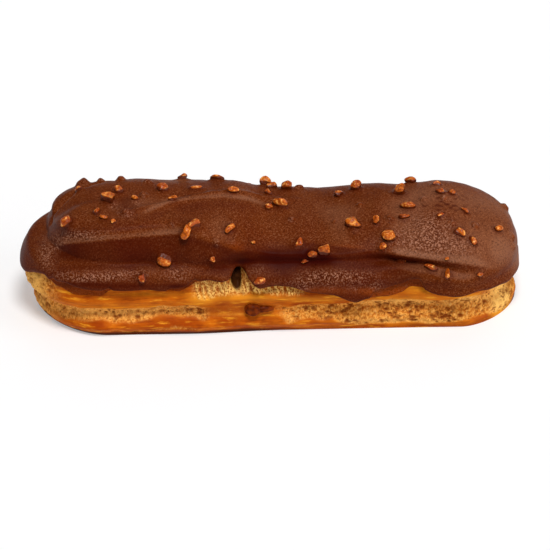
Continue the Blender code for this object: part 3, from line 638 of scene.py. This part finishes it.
def nut_list(skin, outward):
    """Place, outward direction, long axis, length, width and coat of every nut, seen or behind."""
    flat, out = skin.reshape(-1, 3), outward.reshape(-1, 3)
    nuts = []
    for x, y, length, width, lean in BARE_NUTS:
        at = nearest(flat, out, x, y)
        stands = NUT_STANDS * width
        at = nearest(flat, out, x - stands * out[at, 0], y + stands * (out[at] @ UP))
        axis = np.array([1, 0, 0]) * math.cos(math.radians(lean)) + UP * math.sin(math.radians(lean))
        nuts.append((flat[at], out[at], axis, metres(length), metres(width), False))
    for x, y, size in COATED_NUTS:
        at = nearest(flat, out, x, y)
        size = metres(size)
        nuts.append((flat[at], out[at], np.array([1, 0.3, 0]), size, size * NUT_WIDTH, True))
    rng = np.random.default_rng(SEED)
    strip = np.round(flat[:, 0] / SKYLINE_REACH).astype(int)
    strips = range(strip.min(), strip.max() + 1)
    skyline = np.array([(flat @ UP)[np.abs(strip - s) < 2].max() for s in strips])
    below = flat @ UP < skyline[strip - strip.min()] - SKYLINE_MARGIN
    reached = np.abs(flat[:, 0]) < BACK_REACH
    hidden = np.flatnonzero(below & (out @ LOOK < -0.1) & (out[:, 2] > 0.05) & reached)
    count = len(nuts)
    while len(nuts) < count + BACK_NUTS:
        at = rng.choice(hidden)
        if min(np.linalg.norm(flat[at] - nut[0]) for nut in nuts) > NUT_SPACING:
            size = rng.uniform(*NUT_SIZES)
            axis = rng.normal(size=3)
            coated = rng.random() < COATED_SHARE
            nuts.append((flat[at], out[at], axis, size * NUT_LENGTH, size * NUT_WIDTH, coated))
    return nuts


def glaze_mounds(nuts):
    """The glaze over a coated nut is a flat-topped lump, and round a bare nut a low fillet.

    Each is its height times e to the minus a power of the distance from the nut, in shares of its size.
    """
    def mound(away, size, high, reach, power):
        return high * size * np.exp(-((away / (reach * size)) ** power))

    def rise(points):
        total = np.zeros(points.shape[:-1])
        for number, (place, _, _, length, width, coated) in enumerate(nuts):
            away = np.linalg.norm(points - place, axis=-1)
            size = (length + width) / 2
            if coated:
                near = away < 2 * size
                lumpy = 1 + 0.35 * waves(points[near], size * 0.6, 100 + number, 6)
                total[near] += mound(away[near], size, *MOUND) * lumpy
            else:
                total += mound(away, size, *FILLET)
        return total
    return rise


def grid_quads(count, rows, first=0, inward=False):
    """Faces of a grid that closes round the log; its points are numbered column by column."""
    column = np.arange(count)[:, None]
    row = np.arange(rows - 1)[None, :]
    a = first + column * rows + row
    b = first + (column + 1) % count * rows + row
    faces = np.stack([a, b, b + 1, a + 1], axis=-1).reshape(-1, 4)
    return faces[:, ::-1] if inward else faces


def make_mesh(name, points, faces, attributes=None):
    """A smooth mesh object from arrays of points and faces, with a number per point for each attribute."""
    mesh = bpy.data.meshes.new(name)
    size = faces.shape[1]
    mesh.vertices.add(len(points))
    mesh.vertices.foreach_set("co", np.clip(points, CAD_LOW, CAD_HIGH).astype(np.float32).ravel())
    mesh.loops.add(faces.size)
    mesh.loops.foreach_set("vertex_index", faces.astype(np.int32).ravel())
    mesh.polygons.add(len(faces))
    mesh.polygons.foreach_set("loop_start", np.arange(0, faces.size, size, dtype=np.int32))
    mesh.update(calc_edges=True)
    for key, values in (attributes or {}).items():
        layer = mesh.attributes.new(key, "FLOAT", "POINT")
        layer.data.foreach_set("value", values.astype(np.float32).ravel())
    work = bmesh.new()
    work.from_mesh(mesh)
    bmesh.ops.remove_doubles(work, verts=work.verts, dist=2e-6)
    bmesh.ops.dissolve_degenerate(work, edges=work.edges, dist=1e-6)
    bmesh.ops.recalc_face_normals(work, faces=work.faces)
    work.to_mesh(mesh)
    work.free()
    mesh.shade_smooth()
    thing = bpy.data.objects.new(name, mesh)
    bpy.context.scene.collection.objects.link(thing)
    return thing


class Signal:
    """A number that varies over a surface, for use in ordinary arithmetic."""

    def __init__(self, finish, socket):
        self.finish = finish
        self.socket = socket

    def combine(self, operation, first, second):
        made = self.finish.node("ShaderNodeMath", {"operation": operation}, {0: first, 1: second})
        return Signal(self.finish, made.outputs[0])

    def __add__(self, other):
        return self.combine("ADD", self, other)

    def __radd__(self, other):
        return self.combine("ADD", other, self)

    def __sub__(self, other):
        return self.combine("SUBTRACT", self, other)

    def __rsub__(self, other):
        return self.combine("SUBTRACT", other, self)

    def __mul__(self, other):
        return self.combine("MULTIPLY", self, other)

    def __rmul__(self, other):
        return self.combine("MULTIPLY", other, self)

    def between(self, low, high):
        """0 below low, 1 above high, an even S between them."""
        made = self.finish.node("ShaderNodeMapRange", {"interpolation_type": "SMOOTHSTEP"},
                                {0: self, 1: low, 2: high, 3: 0.0, 4: 1.0})
        return Signal(self.finish, made.outputs[0])


class Finish:
    """A material: its Principled shader and the nodes that vary it."""

    def __init__(self, name, **plain):
        self.material = bpy.data.materials.new(name)
        self.material.use_nodes = True
        self.tree = self.material.node_tree
        self.shader = self.tree.nodes["Principled BSDF"]
        for key, value in plain.items():
            self.shader.inputs[key.replace("_", " ")].default_value = value
        self.place = self.node("ShaderNodeTexCoord").outputs["Object"]

    def node(self, kind, settings=None, sockets=None):
        """Adds a node: its settings first, then a value or a link for each socket."""
        made = self.tree.nodes.new(kind)
        for key, value in (settings or {}).items():
            setattr(made, key, value)
        for key, value in (sockets or {}).items():
            value = getattr(value, "socket", value)
            if isinstance(value, bpy.types.NodeSocket):
                self.tree.links.new(value, made.inputs[key])
            else:
                made.inputs[key].default_value = value
        return made

    def noise(self, size, detail=2.0, stretch=(1, 1, 1), roughness=0.5):
        """Noise from 0 to 1 with lumps of a size in metres, drawn out by stretch along each axis."""
        place = self.node("ShaderNodeVectorMath", {"operation": "MULTIPLY"},
                          {0: self.place, 1: [1 / s for s in stretch]}).outputs[0]
        made = self.node("ShaderNodeTexNoise", None,
                         {"Vector": place, "Scale": 1 / size, "Detail": detail, "Roughness": roughness})
        return Signal(self, made.outputs[0])

    def cells(self, size):
        """Distance from scattered points about a size apart, in shares of that size."""
        made = self.node("ShaderNodeTexVoronoi", None, {"Vector": self.place, "Scale": 1 / size})
        return Signal(self, made.outputs["Distance"])

    def attribute(self, name):
        """A number that the mesh carries at each point."""
        made = self.node("ShaderNodeAttribute", {"attribute_name": name})
        return Signal(self, made.outputs["Fac"])

    def mix(self, share, first, second):
        """A colour between two colours, each a mixed one or red, green and blue."""
        first, second = ((*colour, 1) if isinstance(colour, tuple) else colour for colour in (first, second))
        return self.node("ShaderNodeMix", {"data_type": "RGBA"}, {0: share, 6: first, 7: second}).outputs[2]

    def set(self, socket, value):
        """Feeds one of the shader's sockets."""
        self.tree.links.new(getattr(value, "socket", value), self.shader.inputs[socket])

    def relief(self, height, depth):
        """Bumps the surface by a height signal of a depth in metres."""
        made = self.node("ShaderNodeBump", None, {"Strength": 1.0, "Distance": depth, "Height": height})
        self.set("Normal", made.outputs[0])


def glaze_finish():
    """Chocolate glaze: dark brown, redder where it is thin, with a fine grain, pores and a dull bloom;
    painted sheen, glints and shade.
    """
    paint, tint = Finish("chocolate_glaze", Specular_IOR_Level=0.03), GLAZE_COLOURS
    thin, bloom_and_sheen, shade, frost_and_glints = (paint.attribute(name) for name in ("thin", "bloom_and_sheen", "shade", "frost_and_glints"))
    cloud = paint.noise(5 * MM, 3)
    grain = paint.noise(0.42 * MM, 2, roughness=0.7)
    speck = paint.noise(0.5 * MM, 2, roughness=0.8)
    # Dull bloom and painted sheen: faces turned up, the right part, the ridge, the tip and the line over the
    # face are lighter, and the light grain is stronger there
    colour = paint.mix(bloom_and_sheen * 0.75 + cloud.between(0.35, 0.7) * 0.25, tint["dark"], tint["milky"])
    colour = paint.mix((bloom_and_sheen - 1) * 1.2, colour, tint["sheen"])
    colour = paint.mix(thin.between(0.1, 0.75) * 0.9, colour, tint["thin"])
    colour = paint.mix(grain.between(0.5, 0.72) * (0.3 + bloom_and_sheen * 0.6), colour, tint["light grain"])
    colour = paint.mix((1 - grain).between(0.5, 0.7) * 0.7, colour, tint["dark grain"])
    # Painted shade: the face under the lobe, the valley, dark spots, pocked hollows and rings round bare nuts
    colour = paint.mix(shade * 0.75, colour, tint["shaded"])
    colour = paint.mix((shade - 0.85) * 1.4, colour, tint["deep"])
    # Frost with painted glints: light specks where there is frost, dark specks between them
    colour = paint.mix((1 - speck).between(0.47, 0.58) * frost_and_glints * 0.7, colour, tint["dark speck"])
    colour = paint.mix(speck.between(0.50, 0.62) * frost_and_glints, colour, tint["frost_and_glints"])
    paint.set("Base Color", colour)
    paint.set("Roughness", 0.32 + grain * 0.2 + cloud * 0.06)
    pore = 1 - paint.cells(1.0 * MM).between(0.05, 0.22)
    pored = paint.noise(7 * MM, 2).between(0.5, 0.62)
    paint.relief(grain * (frost_and_glints * 0.7 + 0.3) - pore * 1.2 * pored, 0.2 * MM)
    return paint.material


def choux_finish():
    """Baked choux: golden brown crust with darker streaks, paler open crumb, dark foot, pale tears; painted
    light on the ends and roll tops, painted shade in pits and the hole.
    """
    paint, tint = Finish("baked_choux", Specular_IOR_Level=0.05), CHOUX_COLOURS
    crumb, pale, foot, pit_shade_and_dull_spot, shaded_hole, bright = (
        paint.attribute(name) for name in ("crumb", "pale", "foot", "pit_shade_and_dull_spot", "shaded_hole", "bright"))
    patch = paint.noise(7 * MM, 3)
    cluster = paint.noise(4 * MM, 2)
    streak = paint.noise(1.0 * MM, 4, (7, 7, 1), 0.65)
    spike = paint.noise(0.4 * MM, 2, (1, 1, 1.7))
    fine = paint.noise(0.6 * MM, 3)
    fleck = paint.noise(0.8 * MM, 3, (1, 1, 1.5), 0.7)
    crust = paint.mix(patch.between(0.3, 0.72), tint["baked"], tint["golden"])
    crust = paint.mix(streak.between(0.5, 0.68) * 0.65, crust, tint["dark streak"])
    crust = paint.mix((1 - streak).between(0.53, 0.7) * 0.7, crust, tint["light streak"])
    # Painted highlights and light: golden spots and the ends are brighter, partly golden crust
    crust = paint.mix(bright * 0.9, crust, tint["bright crust"])
    opened = paint.mix(fine.between(0.33, 0.66), tint["crumb"], tint["pale crumb"])
    opened = paint.mix(bright, opened, tint["bright crumb"])
    flecked = (1 - fleck + (cluster - 0.5) * 0.3).between(0.56, 0.63)
    opened = paint.mix(flecked * 0.75, opened, tint["fleck"])
    opened = paint.mix(fleck.between(0.56, 0.66) * 0.5, opened, tint["light fleck"])
    torn = paint.mix(spike.between(0.38, 0.58), tint["torn"], tint["torn tips"])
    colour = paint.mix(crumb, crust, opened)
    colour = paint.mix(pale, colour, torn)
    # Painted shade in the pits, and the dull spots
    colour = paint.mix(pit_shade_and_dull_spot * (cluster.between(0.42, 0.58) * 0.75 + 0.3), colour, tint["pit_shade_and_dull_spot"])
    # Painted shade: the hole under the arch is nearly black
    colour = paint.mix(shaded_hole.between(0.25, 0.6), colour, tint["shaded_hole"])
    colour = paint.mix(foot, colour, tint["foot"])
    paint.set("Base Color", colour)
    paint.set("Roughness", 0.42 + crumb * 0.35 + fine * 0.15)
    paint.relief(fine * (0.3 + crumb * 0.3) + streak * 0.5, 0.25 * MM)
    return paint.material


def nut_finish():
    """Caramel-coated nut: glossy orange brown, bare caramel patches lightened as painted highlights, with
    chocolate left in patches and at its foot.
    """
    paint, tint = Finish("caramel_nut", Specular_IOR_Level=0.18), NUT_COLOURS
    tone, coat = paint.attribute("tone"), paint.attribute("coat")
    patch = paint.noise(0.9 * MM, 3)
    fine = paint.noise(0.35 * MM, 2)
    colour = paint.mix(tone, tint["dark"], tint["light"])
    # Bare caramel in patches, lightened as painted highlights
    colour = paint.mix(patch.between(0.53, 0.65) * 0.85, colour, tint["bare"])
    colour = paint.mix((1 - patch).between(0.52, 0.62) * 0.6, colour, tint["toasted"])
    colour = paint.mix((coat + (patch - 0.5) * 0.9).between(0.27, 0.60), colour, tint["coat"])
    paint.set("Base Color", colour)
    paint.set("Roughness", 0.22 + patch * 0.2)
    paint.relief(fine * 0.3 + patch, 0.14 * MM)
    return paint.material


def filling_finish():
    """Chocolate filling: smooth, milky brown, a little glossy."""
    paint, tint = Finish("chocolate_filling", Specular_IOR_Level=0.04), FILLING_COLOURS
    cloud = paint.noise(1.6 * MM, 2)
    paint.set("Base Color", paint.mix(cloud.between(0.35, 0.65), tint["dark"], tint["milky"]))
    paint.set("Roughness", 0.32 + cloud * 0.12)
    paint.relief(paint.noise(0.5 * MM, 2), 0.05 * MM)
    return paint.material


def dress(piece, material, node):
    """Gives a piece its material and its place in the part."""
    piece.data.materials.append(material)
    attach(piece, "root")
    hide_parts(node)


def make_glaze():
    """The glaze's outer skin with its mounds, closed by a coarser inner skin; returns the nuts too."""
    flat_skin, flat_out, _ = glaze_skin(lambda points: 0 * points[..., 0])
    nuts = nut_list(flat_skin, flat_out)
    skin, outward, thin = glaze_skin(glaze_mounds(nuts))
    inner_share = steps(EDGE_SHARE, np.ones_like(EDGE_SHARE), INNER_ROWS)
    plain, height = plain_log(inner_share)
    inner = plain + normals(plain) * (baked_relief(plain, height) - GLAZE_SUNK)[..., None]
    inner[:, 0] = skin[:, 0]
    count = len(skin)
    bloom_and_sheen, frost_and_glints, shade, red = glaze_tones(skin, outward)
    thin = np.maximum(thin, red)
    # Coated nuts: reddish thin glaze and frost with painted glints over them; round bare nuts a dark ring,
    # partly chocolate rim and partly painted shadow
    for place, _, _, length, width, coated in nuts:
        away = np.linalg.norm(skin - place, axis=-1) / (length + width)
        if coated:
            spot = np.exp(-((away / 0.33) ** 4))
            lumpy = np.clip(0.6 + 0.6 * waves(skin, 0.8 * MM, 61, 6), 0, 1)
            thin = np.maximum(thin, 0.6 * spot * lumpy)
            frost_and_glints = np.maximum(frost_and_glints, 0.9 * spot * (1 - lumpy))
        else:
            shade = np.maximum(shade, 0.85 * np.exp(-((away / 0.39) ** 4)))
    points = np.concatenate([skin.reshape(-1, 3), inner.reshape(-1, 3)])
    faces = np.concatenate([grid_quads(count, GLAZE_ROWS),
                            grid_quads(count, INNER_ROWS, count * GLAZE_ROWS, inward=True)])
    hidden = np.zeros(inner[..., 0].size)
    tones = {"thin": thin, "bloom_and_sheen": bloom_and_sheen, "shade": shade, "frost_and_glints": frost_and_glints}
    attributes = {name: np.concatenate([tone.ravel(), hidden]) for name, tone in tones.items()}
    dress(make_mesh("glaze_coat", points, faces, attributes), glaze_finish(), "glaze")
    return nuts


def glaze_tones(skin, outward):
    """Painted sheen with dull bloom, frost with painted glints, painted shade and red spots of the glaze at
    each point.

    The face between its top and bottom lines is painted in shade, as are dark spots and pocked hollows; the
    sheen is lighter on faces turned up and towards the right, just above the face, along the ridge and on the
    right tip, and all of it is uneven by smooth noise.
    """
    column, row = photo_place(skin)
    seen = fade(outward @ LOOK, 0, 0.25)
    # Painted shade on the face under the lobe, between its top and foot lines
    top, foot = height_along(FACE_TOP, column), height_along(FACE_FOOT, column)
    sway = FACE_SWAY * waves(skin, 7 * MM, 44)
    inside = plateau(column, *FACE_SPAN) * seen
    past = 1 - fade(row + sway, foot - FACE_SOFT, foot + FACE_SOFT)
    shade = fade(row, top - 0.5, top + 2) * past * inside
    above = fade(row, top - 11, top - 2) * (1 - fade(row, top - 0.5, top + 1)) * inside
    shade = np.clip(shade * (0.84 + 0.35 * waves(skin, 8 * MM, 45)), 0, 0.9)
    shade = np.maximum(shade, spots(PAINTED_SHADE_SPOTS, column, row) * seen)
    pock = np.clip(2.2 * waves(skin, 0.9 * MM, 47) - 0.6, 0, 1)
    shade = np.maximum(shade, pock * np.clip(spots(POCKED, column, row), 0, 1) * seen)
    # Dull bloom by noise, with painted light: faces turned up and the right part are lighter
    bloom_and_sheen = 0.15 + 0.3 * waves(skin, 9 * MM, 41) + 0.75 * outward[..., 2]
    bloom_and_sheen = np.clip(bloom_and_sheen + 0.5 * fade(skin[..., 0], 25 * MM, 50 * MM), 0, 1.6)
    # Painted highlight along the ridge, with painted shade just below it
    ridge = row - height_along(CROWN_RIDGE, column)
    ridged = plateau(column, *CROWN_RIDGE_SPAN) * seen
    bloom_and_sheen = bloom_and_sheen + ridged * (0.7 * bump(ridge, -0.5, 2.5) - 0.5 * bump(ridge, 8, 5))
    # Painted sheen on the right tip, and the painted highlight line over the face
    start, end, middle, reach = TIP_SHEEN
    bloom_and_sheen = bloom_and_sheen + 0.9 * fade(column, start, end) * bump(row, middle, reach) * seen
    bright, gone, back, full = HIGHLIGHT_LINE
    bloom_and_sheen = bloom_and_sheen + above * (1.1 - 1.1 * fade(column, bright, gone) + 0.8 * fade(column, back, full))
    # Frost with painted glints in the listed spots, and a little on the unseen roll
    frost_and_glints = spots(FROST_GLINT_SPOTS, column, row) * seen
    frost_and_glints = frost_and_glints + 0.35 * bump(skin[..., 2], 18.5 * MM, 2.5 * MM) * (1 - seen)
    frost_and_glints = np.clip(frost_and_glints * (0.8 + 0.5 * waves(skin, 6 * MM, 43)), 0, 1) * (1 - np.minimum(shade, 1))
    return np.clip(bloom_and_sheen, 0, 1.8), frost_and_glints, shade, spots(RED_SPOTS, column, row) * seen


def open_crumb(x, y, height):
    """Where the crust has split open to the crumb: a band between the rolls and patches at the ends.

    The band lies between two heights that change along the log and is closed in the middle.
    """
    front = on_front(y)
    near, far = fade(x, *CRUMB_NEAR) * front, fade(x, *CRUMB_FAR)
    middle = 1 - (0.9 * front + 0.4 * (1 - front)) * plateau(x, *CRUMB_CLOSED)
    low, high = (level + at_near * near + at_far * far for level, at_near, at_far in (CRUMB_LOW, CRUMB_HIGH))
    soft_low, soft_high = CRUMB_SOFT
    band = fade(height, low - soft_low, low + soft_low)
    band = band * (1 - fade(height, high - soft_high, high + soft_high))
    start, end, foot, above = LEFT_CRUMB
    left_end = fade(-x, start, end) * fade(height, foot, above)
    start, end, foot, above = RIGHT_CRUMB
    right_end = fade(x, start, end) * fade(height, foot, above)
    line = 0.5 * bump(height, *PALE_LINE) * fade(-x, *PALE_LINE_START) * front
    return np.clip(band * middle + 0.8 * left_end + 0.9 * right_end + line, 0, 1)


def scattered_pits(points, allowed, count, seed):
    """Depth share of pits scattered over the open crumb, each a rounded hollow drawn out along the log.

    A pit's depth is e to the minus fourth power of the distance from its middle, in shares of its size.
    """
    rng = np.random.default_rng(seed)
    flat = points.reshape(-1, 3)
    weight = allowed.ravel() / allowed.sum()
    depth = np.zeros(len(flat))
    for at in rng.choice(len(flat), count, p=weight):
        size = (0.2 + 0.4 * rng.random() ** 2) * MM
        stretch = np.array([rng.uniform(0.5, 0.9), 0.6, rng.uniform(0.9, 1.4)])
        near = np.flatnonzero(np.abs(flat[:, 0] - flat[at, 0]) < 2.5 * size)
        away = np.linalg.norm((flat[near] - flat[at]) * stretch, axis=1) / size
        depth[near] = np.maximum(depth[near], np.exp(-(away ** 4)) * min(1, size / PIT_DEPTH))
    return depth.reshape(allowed.shape)


def make_choux():
    """The baked log: smooth rolls, open crumb with pits, a torn spiky patch and a dark foot.

    Its skin is lifted off the plain log by the relief, lowered by crumb, pits, tears and the hole under
    the arch, and closed by a fan of triangles under the foot.
    """
    bare = steps(np.zeros_like(EDGE_SHARE), EDGE_SHARE + 0.02, BARE_ROWS)
    covered = steps(EDGE_SHARE + 0.02, np.ones_like(EDGE_SHARE), HIDDEN_ROWS + 1)[:, 1:]
    plain, height = plain_log(np.concatenate([bare, covered], axis=1))
    x, y = plain[..., 0], plain[..., 1]
    seen = 1 - fade(height, EDGE[:, None], EDGE[:, None] + 0.8 * MM)
    front = on_front(y)
    ragged = 0.5 * MM * waves(plain, 2.2 * MM, 51) + 0.9 * MM * waves(plain, 9 * MM, 52)
    crumb = open_crumb(x, y, height + ragged) * seen
    torn = plateau(x, *TORN_SPAN) * front * seen * fade(height + ragged, *TORN_HEIGHT)
    spikes = waves(plain * [1, 1, 0.3], 0.55 * MM, 53)
    place, level, half_wide, half_high, deep = HOLE
    away = ((x - place) / half_wide) ** 2 + ((height - level) / half_high) ** 2
    # The hole dents the crumb, and its colour is painted shade, lighter towards its right
    shaded_hole = np.exp(-(away ** 2)) * front
    pits = scattered_pits(plain, crumb ** 2 + 0.02 * seen, PITS, 54) * seen
    lift = baked_relief(plain, height)
    lift += 0.14 * MM * crumb * waves(plain, 0.8 * MM, 55) - 0.3 * MM * crumb
    lift -= PIT_DEPTH * pits * (0.3 + 0.7 * crumb)
    lift += torn * (0.35 * MM * spikes - 0.2 * MM) - deep * shaded_hole
    lift += 0.10 * MM * (1 - crumb) * waves(plain * [0.25, 0.25, 1], 0.9 * MM, 56) * seen
    lift -= 0.25 * MM * (1 - seen)
    lift *= fade(height, -0.2 * MM, 1.2 * MM)
    points = plain + normals(plain) * lift[..., None]
    points[:, 0, 2] = 0
    foot_side = 1 - 0.75 * fade(x, *FOOT_FADE) * front
    foot = (1 - fade(height + 0.2 * ragged, *FOOT_HEIGHT)) * foot_side
    column, row = photo_place(points)
    # The ends are brighter, partly painted light from the side, and the spots partly painted highlights on
    # the roll tops
    ends = np.maximum(fade(column, *BRIGHT_RIGHT), 0.8 * fade(column, *BRIGHT_LEFT)) * front
    bright = (ends + 0.5 * spots(BRIGHT_SPOTS, column, row)) * front
    # The pits are painted darker as shade, less at the ends, and dull spots are added
    pits = pits * (0.3 + 0.7 * crumb) * (1 - 0.4 * ends)
    dull = spots(DULL_SPOTS, column, row) * front
    tones = {"crumb": crumb, "pale": np.clip(torn * (0.75 + 0.5 * spikes), 0, 1), "foot": foot,
             "bright": np.clip(bright, 0, 1), "pit_shade_and_dull_spot": np.clip(pits * 0.9 + dull, 0, 1),
             "shaded_hole": shaded_hole * (1 - 0.6 * fade(x, *HOLE_SHADE_SPAN))}
    attributes = {name: np.append(tone.ravel(), float(name == "foot")) for name, tone in tones.items()}
    count, rows = height.shape
    quads = grid_quads(count, rows)
    rim = np.arange(count) * rows
    fan = np.stack([np.full(count, count * rows), np.roll(rim, -1), rim], axis=1)
    faces = np.concatenate([quads[:, [0, 1, 2]], quads[:, [0, 2, 3]], fan])
    under = points[:, 0].mean(axis=0) * [1, 1, 0]
    bun = make_mesh("choux_bun", np.vstack([points.reshape(-1, 3), under]), faces, attributes)
    dress(bun, choux_finish(), "choux")


def ball():
    """Directions and triangles of a round mesh."""
    work = bmesh.new()
    bmesh.ops.create_icosphere(work, subdivisions=4, radius=1)
    points = np.array([v.co for v in work.verts])
    faces = np.array([[v.index for v in f.verts] for f in work.faces])
    work.free()
    return points, faces


def chopped(directions, rng):
    """A chopped piece: the space inside random planes, with rounded edges and a rough skin.

    The reach in a direction is one over the planes' power mean there, with lumps of smooth noise.
    """
    planes = rng.normal(size=(NUT_PLANES, 3))
    planes /= np.linalg.norm(planes, axis=1, keepdims=True)
    offsets = rng.uniform(0.72, 1.0, NUT_PLANES)
    facing = np.maximum(directions @ planes.T, 1e-3) / offsets
    reach = np.minimum((facing ** ROUNDING).sum(axis=1) ** (-1 / ROUNDING), 1.25)
    coarse = 0.2 * waves(directions, 1.0, rng.integers(1000), 8)
    fine = 0.03 * waves(directions, 0.3, rng.integers(1000), 8)
    return directions * (reach * (1 + (coarse + fine)))[:, None]


def make_nuts(nuts):
    """The bare chopped nuts, each sunk into the glaze with its long side along the skin."""
    directions, triangles = ball()
    rng = np.random.default_rng(SEED)
    points, faces, tone, coat = [], [], [], []
    for place, out, axis, length, width, coated in nuts:
        if coated:
            continue
        along = axis - out * (axis @ out)
        along /= np.linalg.norm(along)
        across = np.cross(out, along)
        high = width * NUT_HEIGHT
        body = chopped(directions, rng) * 0.5
        lift = max(0.28 * high, 0.45 * high - 0.7 * MM) + 0.1 * width
        shaped = along * body[:, :1] * length * 1.05 + across * body[:, 1:2] * width * 1.1
        shaped = shaped + out * (body[:, 2:] * high * (1.2 + 0.35 * out[2]) + lift)
        faces.append(triangles + len(points) * len(directions))
        points.append(place + shaped)
        tone.append(np.full(len(directions), rng.uniform(0, 1)))
        cover = 0.5 + 0.5 * waves(body, 0.55, rng.integers(1000), 8)
        coat.append(0.5 * cover + 0.9 - fade(shaped @ out, 0.28 * high, 0.95 * high) * rng.uniform(0.85, 1.2))
    pieces = make_mesh("chopped_nuts", np.concatenate(points), np.concatenate(faces),
                       {"tone": np.concatenate(tone), "coat": np.concatenate(coat)})
    dress(pieces, nut_finish(), "glaze")


def make_filling():
    """The dab: a rounded lump that thins into a tail along the split.

    Its cross-sections are ellipses along X, whose half-height falls from the lump to the tail as two
    ellipses do, and a dimple pushes the lump's front in.
    """
    low, high = (np.array(corner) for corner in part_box("filling"))
    along = np.linspace(0, 1, DAB_ROWS)
    turn = np.linspace(0, 2 * PI, DAB_COLUMNS, endpoint=False)
    middle, half, thickness = DAB_TAIL
    lump = np.sqrt(np.clip(1 - ((along - DAB_LUMP) / DAB_LUMP) ** 2, 0, 1))
    tail = np.sqrt(np.clip(1 - ((along - middle) / half) ** 2, 0, 1)) * thickness
    size = np.maximum(lump, tail)
    x = low[0] + (high[0] - low[0]) * along
    y = (low[1] + high[1]) / 2 + size[:, None] * (high[1] - low[1]) / 2 * np.cos(turn)
    z = (low[2] + high[2]) / 2 + size[:, None] * (high[2] - low[2]) / 2 * np.sin(turn)
    place, reach, reach_up, depth = DIMPLE
    across = (x[:, None] - x.min() - place) / reach
    dimple = np.exp(-(across ** 2) - ((z - np.mean(z)) / reach_up) ** 2) * (np.cos(turn) < 0)
    points = np.stack([np.broadcast_to(x[:, None], y.shape), y + depth * dimple, z], axis=-1)
    points = points.transpose(1, 0, 2).reshape(-1, 3)
    dab = make_mesh("filling_dab", points, grid_quads(DAB_COLUMNS, DAB_ROWS))
    dress(dab, filling_finish(), "filling")


def add_sun(name, direction, strength, spread):
    """A sun that shines from a direction, with a soft edge of a spread in degrees."""
    data = bpy.data.lights.new(name, "SUN")
    data.energy = strength
    data.angle = math.radians(spread)
    light = bpy.data.objects.new(name, data)
    light.rotation_mode = "QUATERNION"
    light.rotation_quaternion = Vector(direction).to_track_quat("Z", "Y")
    bpy.context.scene.collection.objects.link(light)


def add_studio():
    """Plain pale floor, soft light from above and behind, and a dim pale surround."""
    mesh = bpy.data.meshes.new("floor")
    corners = [(x * FLOOR_REACH, y * FLOOR_REACH, 0) for x, y in ((-1, -1), (1, -1), (1, 1), (-1, 1))]
    mesh.from_pydata(corners, [], [(0, 1, 2, 3)])
    floor = bpy.data.objects.new("floor", mesh)
    bpy.context.scene.collection.objects.link(floor)
    paint = Finish("pale_floor", Base_Color=(0.62, 0.62, 0.625, 1), Roughness=0.7, Specular_IOR_Level=0.1,
                   Emission_Color=(1, 1, 1, 1), Emission_Strength=0.36)
    mesh.materials.append(paint.material)
    floor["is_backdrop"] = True
    world = bpy.data.worlds.new("surround")
    world.use_nodes = True
    back = world.node_tree.nodes["Background"]
    back.inputs["Color"].default_value = (1, 1, 1, 1)
    back.inputs["Strength"].default_value = 0.12
    bpy.context.scene.world = world
    for name, direction, strength, spread in SUNS:
        add_sun(name, direction, strength, spread)
    bpy.context.scene.view_settings.view_transform = "Standard"


def add_camera():
    """A long lens at the photograph's angle, rolled a little so that the right end stands higher."""
    data = bpy.data.cameras.new("camera")
    data.sensor_width = SENSOR
    data.lens = SENSOR * FOCAL_PIXELS / PHOTO_SIDE
    data.clip_end = 50
    middle = PHOTO_SIDE / 2
    high = metres(ORIGIN_Y - middle)
    aim = Vector((metres(middle - ORIGIN_X), 0, high / math.cos(VIEW_RISE)))
    camera = bpy.data.objects.new("camera", data)
    turn = Matrix.Rotation(PI / 2 - VIEW_RISE, 4, "X") @ Matrix.Rotation(-VIEW_ROLL, 4, "Z")
    camera.matrix_world = Matrix.Translation(aim + Vector(LOOK) * metres(FOCAL_PIXELS)) @ turn
    bpy.context.scene.collection.objects.link(camera)
    bpy.context.scene.camera = camera


add_camera()
add_studio()
make_choux()
make_nuts(make_glaze())
make_filling()
